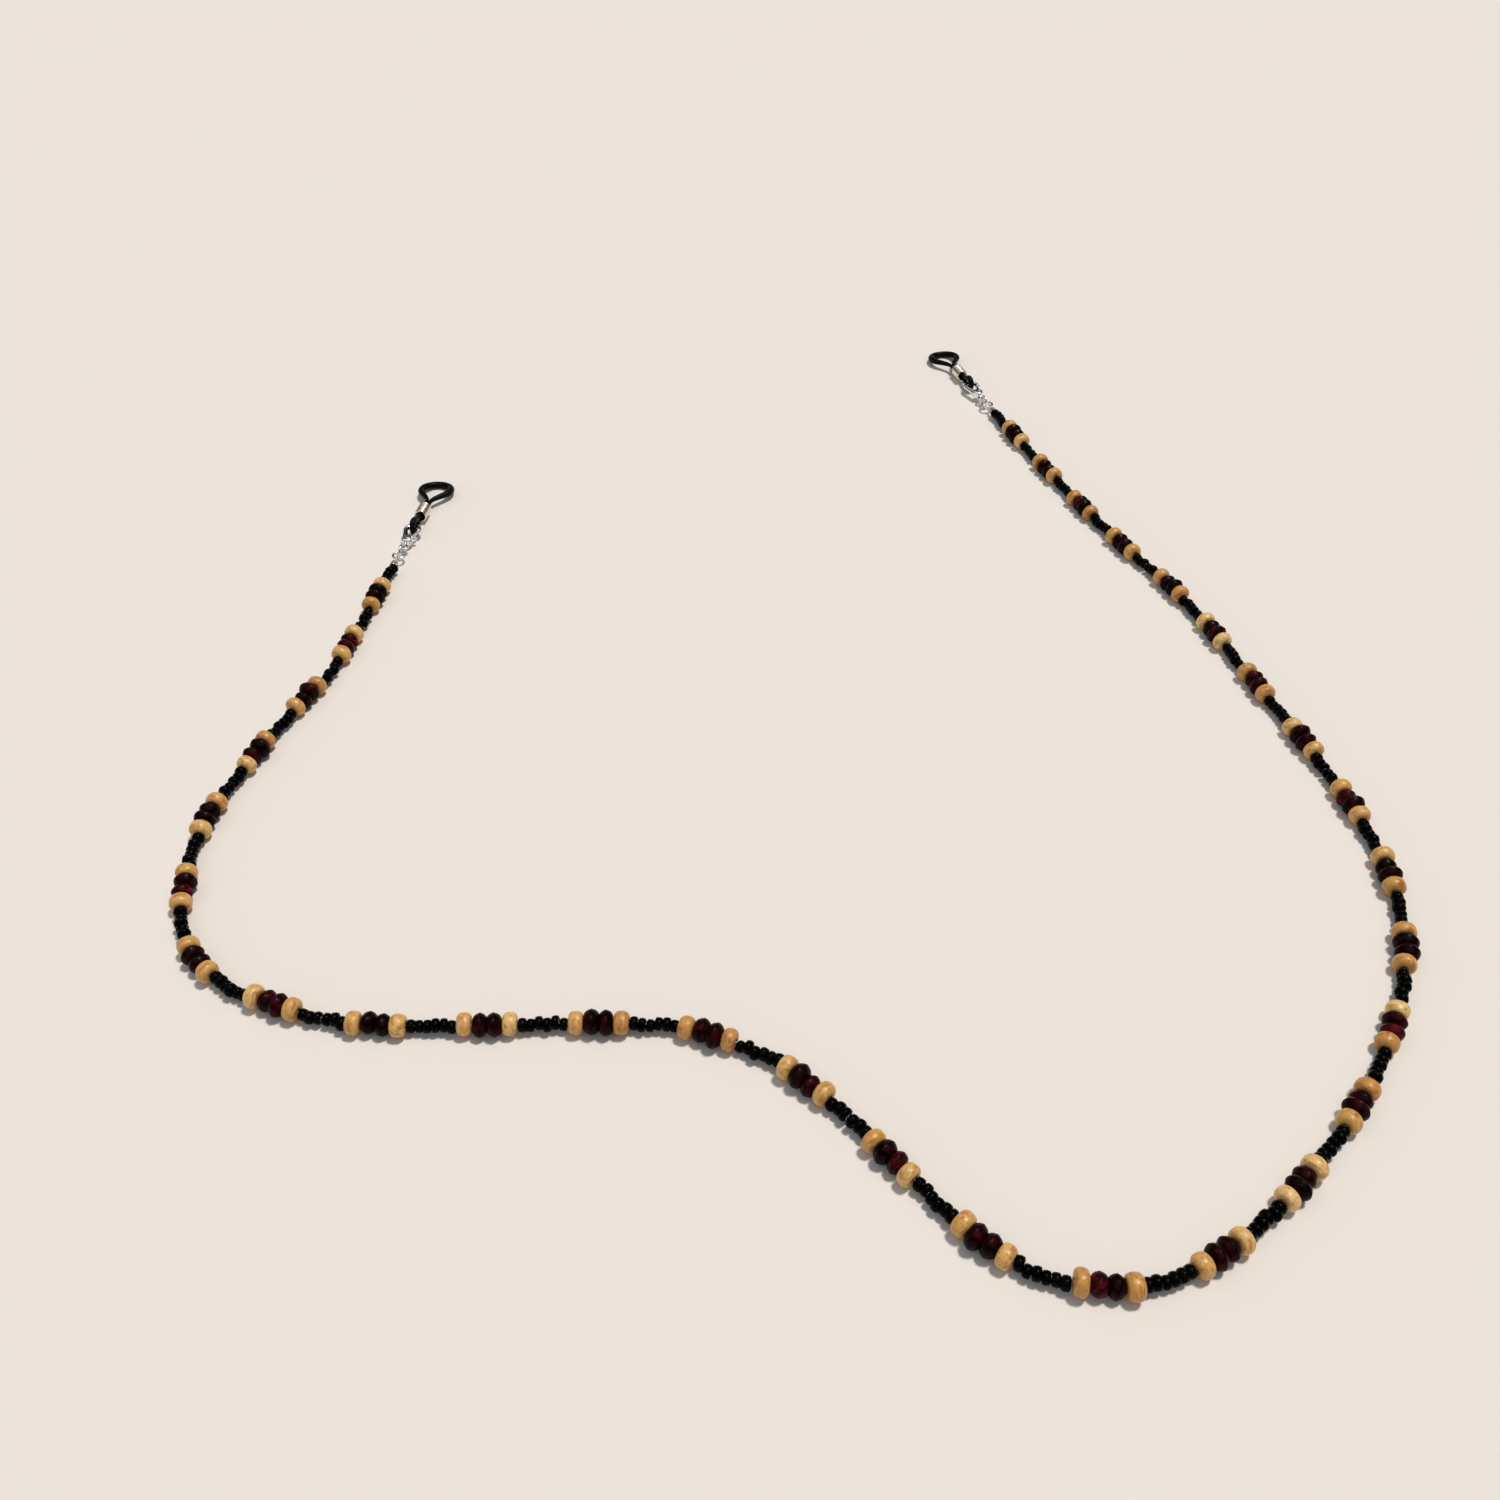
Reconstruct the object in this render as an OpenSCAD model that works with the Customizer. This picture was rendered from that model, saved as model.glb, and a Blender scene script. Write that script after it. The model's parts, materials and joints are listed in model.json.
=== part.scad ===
/* [Beads] */
// Diameter of the light wooden bead
light_bead_d = 4.5; // [4:0.1:5]
// Length of the light wooden bead along the thread
light_bead_l = 2.8; // [2.4:0.05:3.2]
// Diameter of the dark wooden bead at its rim
dark_bead_d = 4.5; // [4:0.1:5]
// Length of the dark wooden bead along the thread
dark_bead_l = 2.45; // [2:0.05:3]
// Width of the blunt rim of the dark bead
dark_bead_rim = 0.3; // [0.2:0.05:0.8]
// Diameter of the flat face round the hole of the dark bead
dark_bead_face_d = 1.8; // [1.6:0.1:2.6]
// Diameter of the glass seed bead
seed_bead_d = 2.7; // [2.2:0.1:3]
// Length of the glass seed bead along the thread
seed_bead_l = 1.36; // [1.2:0.02:1.6]
// Hole through a wooden bead
wood_hole_d = 1; // [0.9:0.05:1.2]
// Hole through a seed bead
seed_hole_d = 0.8; // [0.7:0.05:1]
// Play between neighbouring beads
bead_gap = 0.08; // [0.06:0.01:0.14]

/* [Strand] */
// Seed beads in a full run
run_count = 6; // [5:1:8]
// Seed beads in the short run at the left end
left_run_count = 5; // [4:1:7]
// Diameter of the nylon thread
thread_d = 0.4; // [0.3:0.05:0.5]
// Play left between two seed beads where the strand may bend
bend_gap = 0.35; // [0.3:0.05:0.5]
// Distance from a bend to the end of each piece of thread
thread_end_gap = 0.1; // [0.08:0.01:0.15]

/* [Crimp and thread loop] */
// Diameter of the crimp bead
crimp_d = 1.7; // [1.4:0.1:2.2]
// Length of the crimp bead
crimp_l = 1.4; // [1.2:0.1:2]
// Width across the middle of the thread loop
thread_loop_w = 1.7; // [1.5:0.1:2.2]
// Distance from the crimp bead to the centre of the loop's round end
thread_loop_l = 1.8; // [1.6:0.1:2.6]

/* [Jump rings] */
// Outside diameter of a jump ring
ring_d = 3.6; // [3.4:0.1:4.2]
// Wire of a jump ring
ring_wire_d = 0.65; // [0.55:0.05:0.7]
// Angle of the cut in a jump ring
ring_cut = 4; // [2:1:8]
// Play between two linked pieces
link_gap = 0.1; // [0.08:0.01:0.12]

/* [Clasp] */
// Wire of the clasp's tail eye
tail_wire_d = 0.72; // [0.6:0.02:0.8]
// Play round the jump ring in the tail eye
tail_play = 0.245; // [0.22:0.005:0.3]
// Diameter of the clasp's boss
boss_d = 2.7; // [2.6:0.1:3]
// Thickness of the clasp's boss
boss_t = 2.2; // [2:0.1:2.6]
// Distance from the tail eye to the boss
boss_x = 2.7; // [2.6:0.1:3]
// Thickness of the clasp's neck
neck_d = 1; // [0.8:0.1:1.3]
// Wire of the hook
hook_wire_d = 1.2; // [0.9:0.05:1.3]
// Radius of the hook's bend, to the middle of the wire
hook_r = 1.8; // [1.75:0.05:2]
// Distance from the tail eye to the far bend of the hook
hook_x = 9.1; // [9:0.1:9.8]
// Thickness of the clasp's back where it leaves the boss
back_d = 1.7; // [1.3:0.1:1.8]
// Fall of the boss's domed faces towards its edge
boss_dome = 0.4; // [0.2:0.05:0.5]

/* [Lever and rivet] */
// Diameter of the rivet
rivet_d = 0.6; // [0.5:0.05:0.7]
// Diameter of a rivet head
rivet_head_d = 0.9; // [0.8:0.05:1.1]
// Height of a rivet head
rivet_head_h = 0.12; // [0.1:0.02:0.2]
// Running play between rivet and lever
rivet_play = 0.04; // [0.02:0.01:0.06]
// Diameter of the lever's hub
hub_d = 1.7; // [1.5:0.1:1.8]
// Thickness of the lever's hub
hub_t = 0.56; // [0.5:0.02:0.6]
// Thickness of the lever's arm
arm_d = 0.76; // [0.6:0.02:0.8]
// Width of the slot that the lever turns in
slot_w = 1; // [0.96:0.02:1.1]
// Play between the lever's tip and the hook's nose
nose_gap = 0.12; // [0.1:0.01:0.2]
// Diameter of the thumb nub
nub_d = 0.9; // [0.8:0.05:1]
// Reach of the thumb nub beyond the arm
nub_reach = 1.1; // [0.8:0.1:1.3]
// Wire of the lever's spring
spring_wire_d = 0.12; // [0.1:0.01:0.14]
// Turns of the lever's spring
spring_turns = 1.5; // [1:0.5:1.5]

/* [Rubber loop] */
// Thickness of the rubber in the large eye
rubber_d = 1.8; // [1.6:0.1:2]
// Thickness of the rubber in the small eye
small_rubber_d = 1.6; // [1.4:0.05:1.7]
// Thickness of the rubber where the coil sleeve squeezes it
neck_rubber_d = 1; // [0.9:0.05:1.4]
// Outside width of the large eye
large_eye_w = 9.6; // [9:0.2:12]
// Length of the large eye, from the neck to the middle of its far bend
large_eye_l = 10.5; // [9:0.5:14]
// Length of the small eye, from the hook to the neck
small_eye_l = 4.2; // [4:0.1:5]
// Play between the small eye and the hook's wire
eye_play = 0.15; // [0.1:0.01:0.2]

/* [Coil sleeve] */
// Wire of the coil sleeve
coil_wire_d = 0.6; // [0.4:0.02:0.64]
// Length of the coil sleeve
coil_l = 5.2; // [4:0.2:6.4]
// Travel of the coil sleeve along the neck
coil_travel = 2.4; // [1:0.2:4]
// Play between the coil sleeve and the rubber
coil_play = 0.05; // [0.04:0.01:0.08]
// Distance from one turn of the coil sleeve to the next
coil_turn = 0.66; // [0.64:0.01:0.8]

/* [Hidden] */
$fn = 32;

// The thread's route on the table, seen from above, from its left end to its right end
route = [
    [-96, 35], [-98, 20], [-102, -6], [-108, -22], [-113, -38], [-117, -55], [-116, -70],
    [-113, -82], [-105, -93], [-94, -99], [-77, -104], [-58, -104.5], [-37, -104],
    [-20, -104.5], [-2, -112], [12, -126], [24, -140], [31, -147], [40, -151], [51, -152],
    [61, -149], [77, -138], [92, -123], [104, -107], [113, -89], [117, -69], [116, -51],
    [107, -12], [96, 27], [88, 44], [74, 82], [64, 113]
];

// Bead groups in each of the seven lengths that the strand bends between
groups_in_strand = [4, 4, 5, 5, 5, 4, 4];
// Seed beads of a run that stay before its bend
beads_before_bend = 3;
// Stations of the smooth route between two of its points
steps = 2;
// Sides of a swept thread, of a thicker rubber and of a thin spring wire
thread_sides = 8;
rubber_sides = 10;
wire_sides = 6;
// Steps round one turn of a wound wire
turn_steps = 12;
// Steps along a dark bead's slope and round the edge of the clasp's boss
slope_steps = 5;
dome_steps = 4;
// Steps round the thread loop's round end and round its turn in the crimp bead
loop_steps = 10;
turn_back_steps = 6;
// Steps along the rubber: a twelfth of a turn in the small eye, then the small eye's side,
// the neck, the large eye's side and its round end
small_turn = 30;
small_steps = 4;
neck_steps = 6;
large_steps = 5;
large_turns = 6;

// Space between the thread and the wall of a bead's hole
thread_clear = 0.05;
// Half the space between the thread's two strands in the crimp bead, and round them
turn_clear = 0.03;
crimp_play = 0.1;
// Half the space between the rubber's two strands in the neck
neck_clear = 0.03;
// Space between the coil sleeve and either end of its travel
coil_end_play = 0.1;
// Height of the coil sleeve above the table, and of the tail eye above the ring's middle
table_clear = 0.2;
tail_lift = 0.15;
// Downward slope of the rubber's neck away from the hook
loop_pitch = 0.8;
// How far the small eye and the large eye carry on the line of the neck
small_bulge = 0.8;
large_bulge = 0.5;
// Angles at which the eyes' round parts end
small_side = 60;
large_side = 110;

// Angles of the hook's bend, from its nose to the back
nose_angle = -100;
back_angle = 95;
// Where the back's foot stands past its place on the boss, so that their surfaces cross
back_foot = [0.2, 0.2];
// Extra width of the balls that join the hook's bend to the back and end its nose
knuckle_extra = 0.04;
// Distance of the rivet below the middle of the boss, towards the mouth
rivet_drop = 0.35;
// Direction in which the lever's tip meets the nose
tip_angle = 160;
// Share of the lever's arm at which its nub stands
nub_share = 0.42;
// Play of the lever's hub in the slot, of the rivet in the body and of its heads
hub_play = 0.04;
rivet_fit = 0.01;
// Rim left round the spring's pocket, play inside and beside the spring, and its legs
pocket_rim = 0.05;
spring_play = 0.09;
spring_end_play = 0.045;
spring_leg = 0.35;
// Space round the lever at the slot's tail end, at its hook end and above the rivet
slot_tail_play = 0.1;
slot_hook_play = 0.2;
slot_depth = 0.65;

// ---- General functions ----

function total(list, i = 0) = i < len(list) ? list[i] + total(list, i + 1) : 0;
function first_of(list, count) = [for (i = [0:1:count - 1]) list[i]];
function unit(v) = v / norm(v);
function flat(p) = [p[0], p[1], 0];

// Cubic from a to b that leaves along da and arrives along db
function cubic(a, da, b, db, t) =
    (2 * t * t * t - 3 * t * t + 1) * a + (t * t * t - 2 * t * t + t) * da
    + (3 * t * t - 2 * t * t * t) * b + (t * t * t - t * t) * db;

// Points of a tube of round section: one ring of points at each station of the path,
// where side holds a direction across the path for each station
function tube_points(path, radii, side, sides, closed) = [
    for (i = [0:len(path) - 1])
        let (
            n = len(path),
            before = closed ? path[(i + n - 1) % n] : path[max(i - 1, 0)],
            after = closed ? path[(i + 1) % n] : path[min(i + 1, n - 1)],
            along = unit(after - before),
            across = unit(side[i] - (side[i] * along) * along),
            up = cross(along, across)
        )
        for (k = [0:sides - 1])
            path[i] + radii[i] * (cos(360 * k / sides) * across + sin(360 * k / sides) * up)
];

module tube(path, radii, side, sides = thread_sides, closed = false) {
    n = len(path);
    spans = closed ? n : n - 1;
    walls = [
        for (i = [0:spans - 1], k = [0:sides - 1])
            let (j = (i + 1) % n, m = (k + 1) % sides)
            [i * sides + m, i * sides + k, j * sides + k, j * sides + m]
    ];
    start_cap = [for (k = [0:sides - 1]) k];
    end_cap = [for (k = [sides - 1:-1:0]) (n - 1) * sides + k];
    polyhedron(
        points = tube_points(path, radii, side, sides, closed),
        faces = closed ? walls : concat(walls, [start_cap, end_cap]),
        convexity = 10
    );
}

// ---- The beads' places along the thread ----

seed_step = seed_bead_l + bead_gap;
group_l = 2 * light_bead_l + 2 * dark_bead_l + 3 * bead_gap;
pitch = group_l + bead_gap + run_count * seed_step;
group_count = total(groups_in_strand);
strand_count = len(groups_in_strand);
bend_extra = bend_gap - bead_gap;

function groups_before(s) = total(first_of(groups_in_strand, s));
// Distance along the thread of a group's first face, and of a run's first seed bead
function group_start(g) = left_run_count * seed_step + g * pitch;
function run_start(r) = r == 0 ? 0 : group_start(r - 1) + group_l + bead_gap;
// Distance of the bend between length s and the next one
function bend_at(s) =
    run_start(groups_before(s + 1)) + beads_before_bend * seed_step - bead_gap
    + s * bend_extra + bend_gap / 2;
strand_l = run_start(group_count) + run_count * seed_step - bead_gap
    + (strand_count - 1) * bend_extra;

function group_numbers(s) = [groups_before(s):1:groups_before(s + 1) - 1];
function light_places(s) = [
    for (g = group_numbers(s), at = [light_bead_l / 2, group_l - light_bead_l / 2])
        group_start(g) + at + s * bend_extra
];
function dark_places(s) = [
    for (g = group_numbers(s), side = [-1, 1])
        group_start(g) + group_l / 2 + side * (dark_bead_l + bead_gap) / 2 + s * bend_extra
];
function run_length(r) = r == 0 ? left_run_count : run_count;
function seed_places(s) = [
    for (r = [groups_before(s):1:groups_before(s + 1)])
        let (
            first_bead = s > 0 && r == groups_before(s) ? beads_before_bend : 0,
            last = s < strand_count - 1 && r == groups_before(s + 1)
                ? beads_before_bend : run_length(r)
        )
        for (k = [first_bead:1:last - 1])
            run_start(r) + seed_bead_l / 2 + k * seed_step + s * bend_extra
];

// ---- Heights ----

thread_z = light_bead_d / 2 - (wood_hole_d - thread_d) / 2 + thread_clear;
seed_z = thread_z - (seed_hole_d - thread_d) / 2 + thread_clear;

// ---- Distances along an end, from the last seed bead outwards ----

crimp_x = bead_gap + crimp_l / 2;
// The thread turns back on itself inside the crimp bead
turn_r = thread_d / 2 + turn_clear;
turn_x = crimp_x + thread_d;
crimp_hole_r = turn_r + thread_d / 2 + crimp_play;
// The strand's own thread stops short of that turn
thread_stop_x = turn_x - turn_r - thread_d - thread_clear;
thread_loop_r = (thread_loop_w - thread_d) / 2;
thread_loop_x = bead_gap + crimp_l + thread_loop_l;
ring_r = (ring_d - ring_wire_d) / 2;
// The strand ring hangs in the round end of the thread loop
strand_ring_near = thread_loop_x + thread_loop_r - thread_d / 2 - link_gap - ring_wire_d / 2;
strand_ring_x = strand_ring_near + ring_r;
clasp_ring_near = strand_ring_x + ring_r - ring_wire_d - link_gap;
clasp_ring_x = clasp_ring_near + ring_r;
clasp_ring_far = clasp_ring_x + ring_r;
tail_hole_r = ring_wire_d / 2 + tail_play;
tail_r = tail_hole_r + tail_wire_d / 2;
// The tail eye is pulled out to the clasp ring's far wire
tail_x = clasp_ring_far - ring_wire_d / 2 - link_gap - tail_wire_d / 2 + tail_r;
hook_far_x = tail_x + hook_x;

// Rubber: the small eye turns about the hook's wire
small_eye_r = hook_wire_d / 2 + eye_play + small_rubber_d / 2;
neck_offset = neck_rubber_d / 2 + neck_clear;
coil_hole_r = neck_offset + neck_rubber_d / 2 + coil_play;
coil_r = coil_hole_r + coil_wire_d / 2;
coil_start_x = small_eye_l + coil_end_play;
neck_end_x = coil_start_x + coil_l + coil_travel + coil_end_play;
large_eye_r = (large_eye_w - rubber_d) / 2;
large_bend_x = neck_end_x + large_eye_l - large_eye_r;
rubber_far_x = neck_end_x + large_eye_l;
end_reach = hook_far_x + rubber_far_x + rubber_d / 2;

ring_z = ring_d / 2;
hook_z = max(small_eye_r + small_rubber_d / 2, coil_r + coil_wire_d / 2 + table_clear);
tail_z = ring_z + tail_lift;
clasp_pitch = asin((hook_z - tail_z) / hook_x);
// The large eye sinks to the table beyond the neck
eye_droop = hook_z - rubber_d / 2 - rubber_far_x * sin(loop_pitch);

// ---- The route as stations with their distance along it ----

function leg(i) = norm(route[i + 1] - route[i]);
function heading(i) =
    i == 0 ? unit(route[1] - route[0])
    : i == len(route) - 1 ? unit(route[i] - route[i - 1])
    : ((route[i] - route[i - 1]) / leg(i - 1) * leg(i)
        + (route[i + 1] - route[i]) / leg(i) * leg(i - 1)) / (leg(i - 1) + leg(i));
drawn = [
    for (i = [0:len(route) - 2], k = [0:steps - 1])
        cubic(route[i], leg(i) * heading(i), route[i + 1], leg(i) * heading(i + 1), k / steps),
    route[len(route) - 1]
];
drawn_l = total([for (i = [0:len(drawn) - 2]) norm(drawn[i + 1] - drawn[i])]);
// The route is drawn to the length of the strung beads
scaled = drawn * (strand_l / drawn_l);

// Place and heading of the two ends, then the shift that centres the whole part
left_heading = unit(scaled[0] - scaled[1]);
right_heading = unit(scaled[len(scaled) - 1] - scaled[len(scaled) - 2]);
low_x = min([for (p = scaled) p[0]]) - light_bead_d / 2;
high_x = max([for (p = scaled) p[0]]) + light_bead_d / 2;
low_y = min([for (p = scaled) p[1]]) - light_bead_d / 2;
high_y = scaled[len(scaled) - 1][1]
    + (end_reach - large_eye_w / 2) * right_heading[1] + large_eye_w / 2;
centre = [(low_x + high_x) / 2, (low_y + high_y) / 2];
stations = [for (p = scaled) p - centre];

distances = [
    for (i = 0, d = 0; i < len(stations);
        d = d + (i < len(stations) - 1 ? norm(stations[i + 1] - stations[i]) : 0), i = i + 1) d
];
table_x = [for (i = [0:len(stations) - 1]) [distances[i], stations[i][0]]];
table_y = [for (i = [0:len(stations) - 1]) [distances[i], stations[i][1]]];
// A point of the thread seen from above, which runs straight on past both ends
function thread_point(d) =
    d < 0 ? stations[0] - d * left_heading
    : d > strand_l ? stations[len(stations) - 1] + (d - strand_l) * right_heading
    : [lookup(d, table_x), lookup(d, table_y)];
// Angle of the thread at a place, smoothed over one wooden bead each way
function thread_angle(d) =
    let (v = thread_point(d + light_bead_l) - thread_point(d - light_bead_l)) atan2(v[1], v[0]);

// ---- Colours ----

wood_light = "burlywood";
wood_dark = "#3a1517";
seed_black = "#151515";
nylon = "whitesmoke";
chrome = "silver";
rubber_black = "#202020";

// ---- Beads ----

// A round-shouldered bead, turned about its hole along Z: its outer side is one round arc
// as wide as the bead is long
module round_bead(d, l, hole_d) {
    rim_r = l / 2;
    shoulder_w = d / 2 - rim_r - hole_d / 2;
    rotate_extrude() {
        intersection() {
            translate([d / 2 - rim_r, 0])
                circle(r = rim_r);
            translate([hole_d / 2 + max(0, shoulder_w), -rim_r])
                square([d / 2, l]);
        }
        if (shoulder_w > 0)
            translate([hole_d / 2, -rim_r])
                square([shoulder_w, l]);
    }
}

module light_bead() {
    round_bead(light_bead_d, light_bead_l, wood_hole_d);
}

module seed_bead() {
    round_bead(seed_bead_d, seed_bead_l, seed_hole_d);
}

// A bead like a thick lentil: a small flat face round the hole, then a slope that falls ever
// faster to a blunt rim
module dark_bead() {
    face_r = dark_bead_face_d / 2;
    slope = [
        for (i = [0:slope_steps])
            let (t = i / slope_steps) [
                face_r + (dark_bead_d / 2 - face_r) * t,
                dark_bead_l / 2 - (dark_bead_l - dark_bead_rim) / 2 * t * t
            ]
    ];
    half = concat([[wood_hole_d / 2, dark_bead_l / 2]], slope);
    rotate_extrude()
        polygon(concat(half, [for (i = [len(half) - 1:-1:0]) [half[i][0], -half[i][1]]]));
}

// Stands a bead on the thread at each distance
module strung(places, z) {
    for (d = places)
        translate(concat(thread_point(d), z))
            rotate([0, 90, thread_angle(d)])
                children();
}

module strand_seed_beads(s) {
    color(seed_black) strung(seed_places(s), seed_z) seed_bead();
}

module strand_light_beads(s) {
    color(wood_light) strung(light_places(s), light_bead_d / 2) light_bead();
}

module strand_dark_beads(s) {
    color(wood_dark) strung(dark_places(s), dark_bead_d / 2) dark_bead();
}

// One length of thread, from bend to bend or into the crimp bead
module strand_thread(s) {
    from = s == 0 ? -thread_stop_x : bend_at(s - 1) + thread_end_gap;
    to = s == strand_count - 1 ? strand_l + thread_stop_x : bend_at(s) - thread_end_gap;
    between = [for (d = distances) if (d > from + thread_d && d < to - thread_d) d];
    path = [for (d = concat([from], between, [to])) concat(thread_point(d), thread_z)];
    color(nylon)
        tube(path, [for (p = path) thread_d / 2], [for (p = path) [0, 0, 1]]);
}

// ---- The two ends ----

// Moves an end's pieces to the left (side = 0) or the right end of the strand
module at_end(side) {
    h = side == 0 ? left_heading : right_heading;
    p = side == 0 ? stations[0] : stations[len(stations) - 1];
    translate(flat(p))
        rotate([0, 0, atan2(h[1], h[0])])
            children();
}

module crimp_bead() {
    color(chrome)
        translate([crimp_x, 0, thread_z])
            rotate([0, 90, 0])
                difference() {
                    cylinder(d = crimp_d, h = crimp_l, center = true);
                    cylinder(r = crimp_hole_r, h = crimp_l + 1, center = true);
                }
}

// The thread's end goes round the strand ring and back into the crimp bead
module thread_loop() {
    lean = asin((thread_loop_r - turn_r) / (thread_loop_x - turn_x));
    wide = [
        for (i = [0:loop_steps])
            let (a = -90 - lean + (180 + 2 * lean) * i / loop_steps)
            [thread_loop_x + thread_loop_r * cos(a), 0, thread_z + thread_loop_r * sin(a)]
    ];
    narrow = [
        for (i = [0:turn_back_steps])
            let (a = 90 + lean + (180 - 2 * lean) * i / turn_back_steps)
            [turn_x + turn_r * cos(a), 0, thread_z + turn_r * sin(a)]
    ];
    path = concat(wide, narrow);
    color(nylon)
        tube(path, [for (p = path) thread_d / 2], [for (p = path) [0, 1, 0]], closed = true);
}

// A round wire ring with its cut turned to the side
module jump_ring() {
    rotate([0, 0, 90 + ring_cut / 2])
        rotate_extrude(angle = 360 - ring_cut)
            translate([ring_r, 0])
                circle(d = ring_wire_d);
}

module strand_ring() {
    color(chrome)
        translate([strand_ring_x, 0, thread_z])
            jump_ring();
}

module clasp_ring() {
    color(chrome)
        translate([clasp_ring_x, 0, ring_z])
            rotate([90, 0, 0])
                jump_ring();
}

// ---- Clasp: its frame starts at the tail eye, X runs to the hook, Z across its flat ----

hook_centre = [hook_x - hook_r, 0];
back_start = [boss_x, (boss_d - back_d) / 2] + back_foot;
back_end = hook_centre + hook_r * [cos(back_angle), sin(back_angle)];
nose = hook_centre + hook_r * [cos(nose_angle), sin(nose_angle)];
knuckle_d = hook_wire_d + knuckle_extra;
rivet_at = [boss_x, -rivet_drop];
lever_tip = nose
    + (hook_wire_d / 2 + arm_d / 2 + nose_gap) * [cos(tip_angle), sin(tip_angle)];
hub_top = -slot_w / 2 + hub_play + hub_t;
pocket_r = hub_d / 2 - pocket_rim;

module in_clasp() {
    translate([tail_x, 0, tail_z])
        rotate([0, -clasp_pitch, 0])
            children();
}

// A round bar between two points of the clasp's flat
module bar(from, to, r_from, r_to) {
    v = to - from;
    translate([from[0], from[1], 0])
        rotate([0, 90, atan2(v[1], v[0])])
            cylinder(r1 = r_from, r2 = r_to, h = norm(v));
}

// A round bar between two points of the clasp's flat with its far end rounded, turned in one
module stick(from, to, r) {
    v = to - from;
    l = norm(v);
    translate([from[0], from[1], 0])
        rotate([0, 90, atan2(v[1], v[0])])
            rotate_extrude() {
                square([r, l]);
                intersection() {
                    translate([0, l])
                        circle(r = r);
                    translate([0, l])
                        square([r, r]);
                }
            }
}

// The boss is flat under the rivet heads and domed from there to its edge
module boss() {
    face_r = rivet_drop + rivet_head_d / 2;
    dome = [
        for (i = [0:dome_steps])
            let (a = 90 * i / dome_steps) [
                face_r + (boss_d / 2 - face_r) * sin(a),
                boss_t / 2 - boss_dome * (1 - cos(a))
            ]
    ];
    half = concat([[0, boss_t / 2]], dome);
    rotate_extrude()
        polygon(concat(half, [for (i = [len(half) - 1:-1:0]) [half[i][0], -half[i][1]]]));
}

module clasp_body() {
    color(chrome) in_clasp()
        difference() {
            union() {
                rotate_extrude()
                    translate([tail_r, 0])
                        circle(d = tail_wire_d);
                bar([tail_r, 0], [boss_x - boss_d / 4, 0], neck_d / 2, neck_d / 2);
                translate([boss_x, 0, 0])
                    boss();
                bar(back_start, back_end, back_d / 2, hook_wire_d / 2);
                translate([back_end[0], back_end[1], 0])
                    sphere(d = knuckle_d);
                translate([hook_centre[0], hook_centre[1], 0])
                    rotate([0, 0, nose_angle])
                        rotate_extrude(angle = back_angle - nose_angle)
                            translate([hook_r, 0])
                                circle(d = hook_wire_d);
                translate([nose[0], nose[1], 0])
                    sphere(d = knuckle_d);
            }
            // Slot for the lever, open towards the mouth
            translate([boss_x - hub_d / 2 - slot_tail_play, -boss_d, -slot_w / 2])
                cube([
                    hub_d / 2 + slot_tail_play + boss_d / 2 + slot_hook_play,
                    boss_d + slot_depth, slot_w
                ]);
            translate([rivet_at[0], rivet_at[1], 0])
                cylinder(r = rivet_d / 2 + rivet_fit, h = 2 * boss_t, center = true);
        }
}

module clasp_rivet() {
    color(chrome) in_clasp()
        translate([rivet_at[0], rivet_at[1], 0]) {
            cylinder(d = rivet_d, h = boss_t + rivet_head_h, center = true);
            for (face = [-1, 1])
                translate([0, 0, face * (boss_t / 2 + rivet_fit + rivet_head_h / 2)])
                    cylinder(d = rivet_head_d, h = rivet_head_h, center = true);
        }
}

// A torsion spring round the rivet, between the lever's hub and the slot's wall
module clasp_spring() {
    r = rivet_d / 2 + spring_play + spring_wire_d / 2;
    low = hub_top + spring_end_play + spring_wire_d / 2;
    high = slot_w / 2 - spring_end_play - spring_wire_d / 2;
    count = spring_turns * turn_steps;
    coil = [
        for (i = [0:count])
            let (a = 360 * i / turn_steps)
            [r * cos(a), r * sin(a), low + (high - low) * i / count]
    ];
    last = 360 * spring_turns;
    start_leg = [r, -spring_leg, low];
    end_leg = [
        r * cos(last) - spring_leg * sin(last), r * sin(last) + spring_leg * cos(last), high
    ];
    path = concat([start_leg], coil, [end_leg]);
    color(chrome) in_clasp()
        translate([rivet_at[0], rivet_at[1], 0])
            tube(
                path, [for (p = path) spring_wire_d / 2], [for (p = path) [0, 0, 1]],
                sides = wire_sides
            );
}

module clasp_lever() {
    arm = lever_tip - rivet_at;
    nub_foot = rivet_at + nub_share * arm;
    nub_end = nub_foot - [0, arm_d / 2 + nub_reach - nub_d / 2];
    color(chrome) in_clasp()
        difference() {
            union() {
                translate([rivet_at[0], rivet_at[1], hub_top - hub_t])
                    cylinder(d = hub_d, h = hub_t);
                stick(rivet_at, lever_tip, arm_d / 2);
                stick(nub_foot, nub_end, nub_d / 2);
            }
            translate([rivet_at[0], rivet_at[1], 0])
                cylinder(r = rivet_d / 2 + rivet_play, h = boss_t, center = true);
            // Pocket for the spring
            translate([rivet_at[0], rivet_at[1], hub_top])
                cylinder(r = pocket_r, h = boss_t);
        }
}

// ---- Rubber loop: its frame starts at the middle of the hook's wire, X runs outwards ----

module in_loop() {
    in_clasp()
        translate([hook_x, 0, 0])
            rotate([0, clasp_pitch + loop_pitch, 0])
                children();
}

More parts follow.
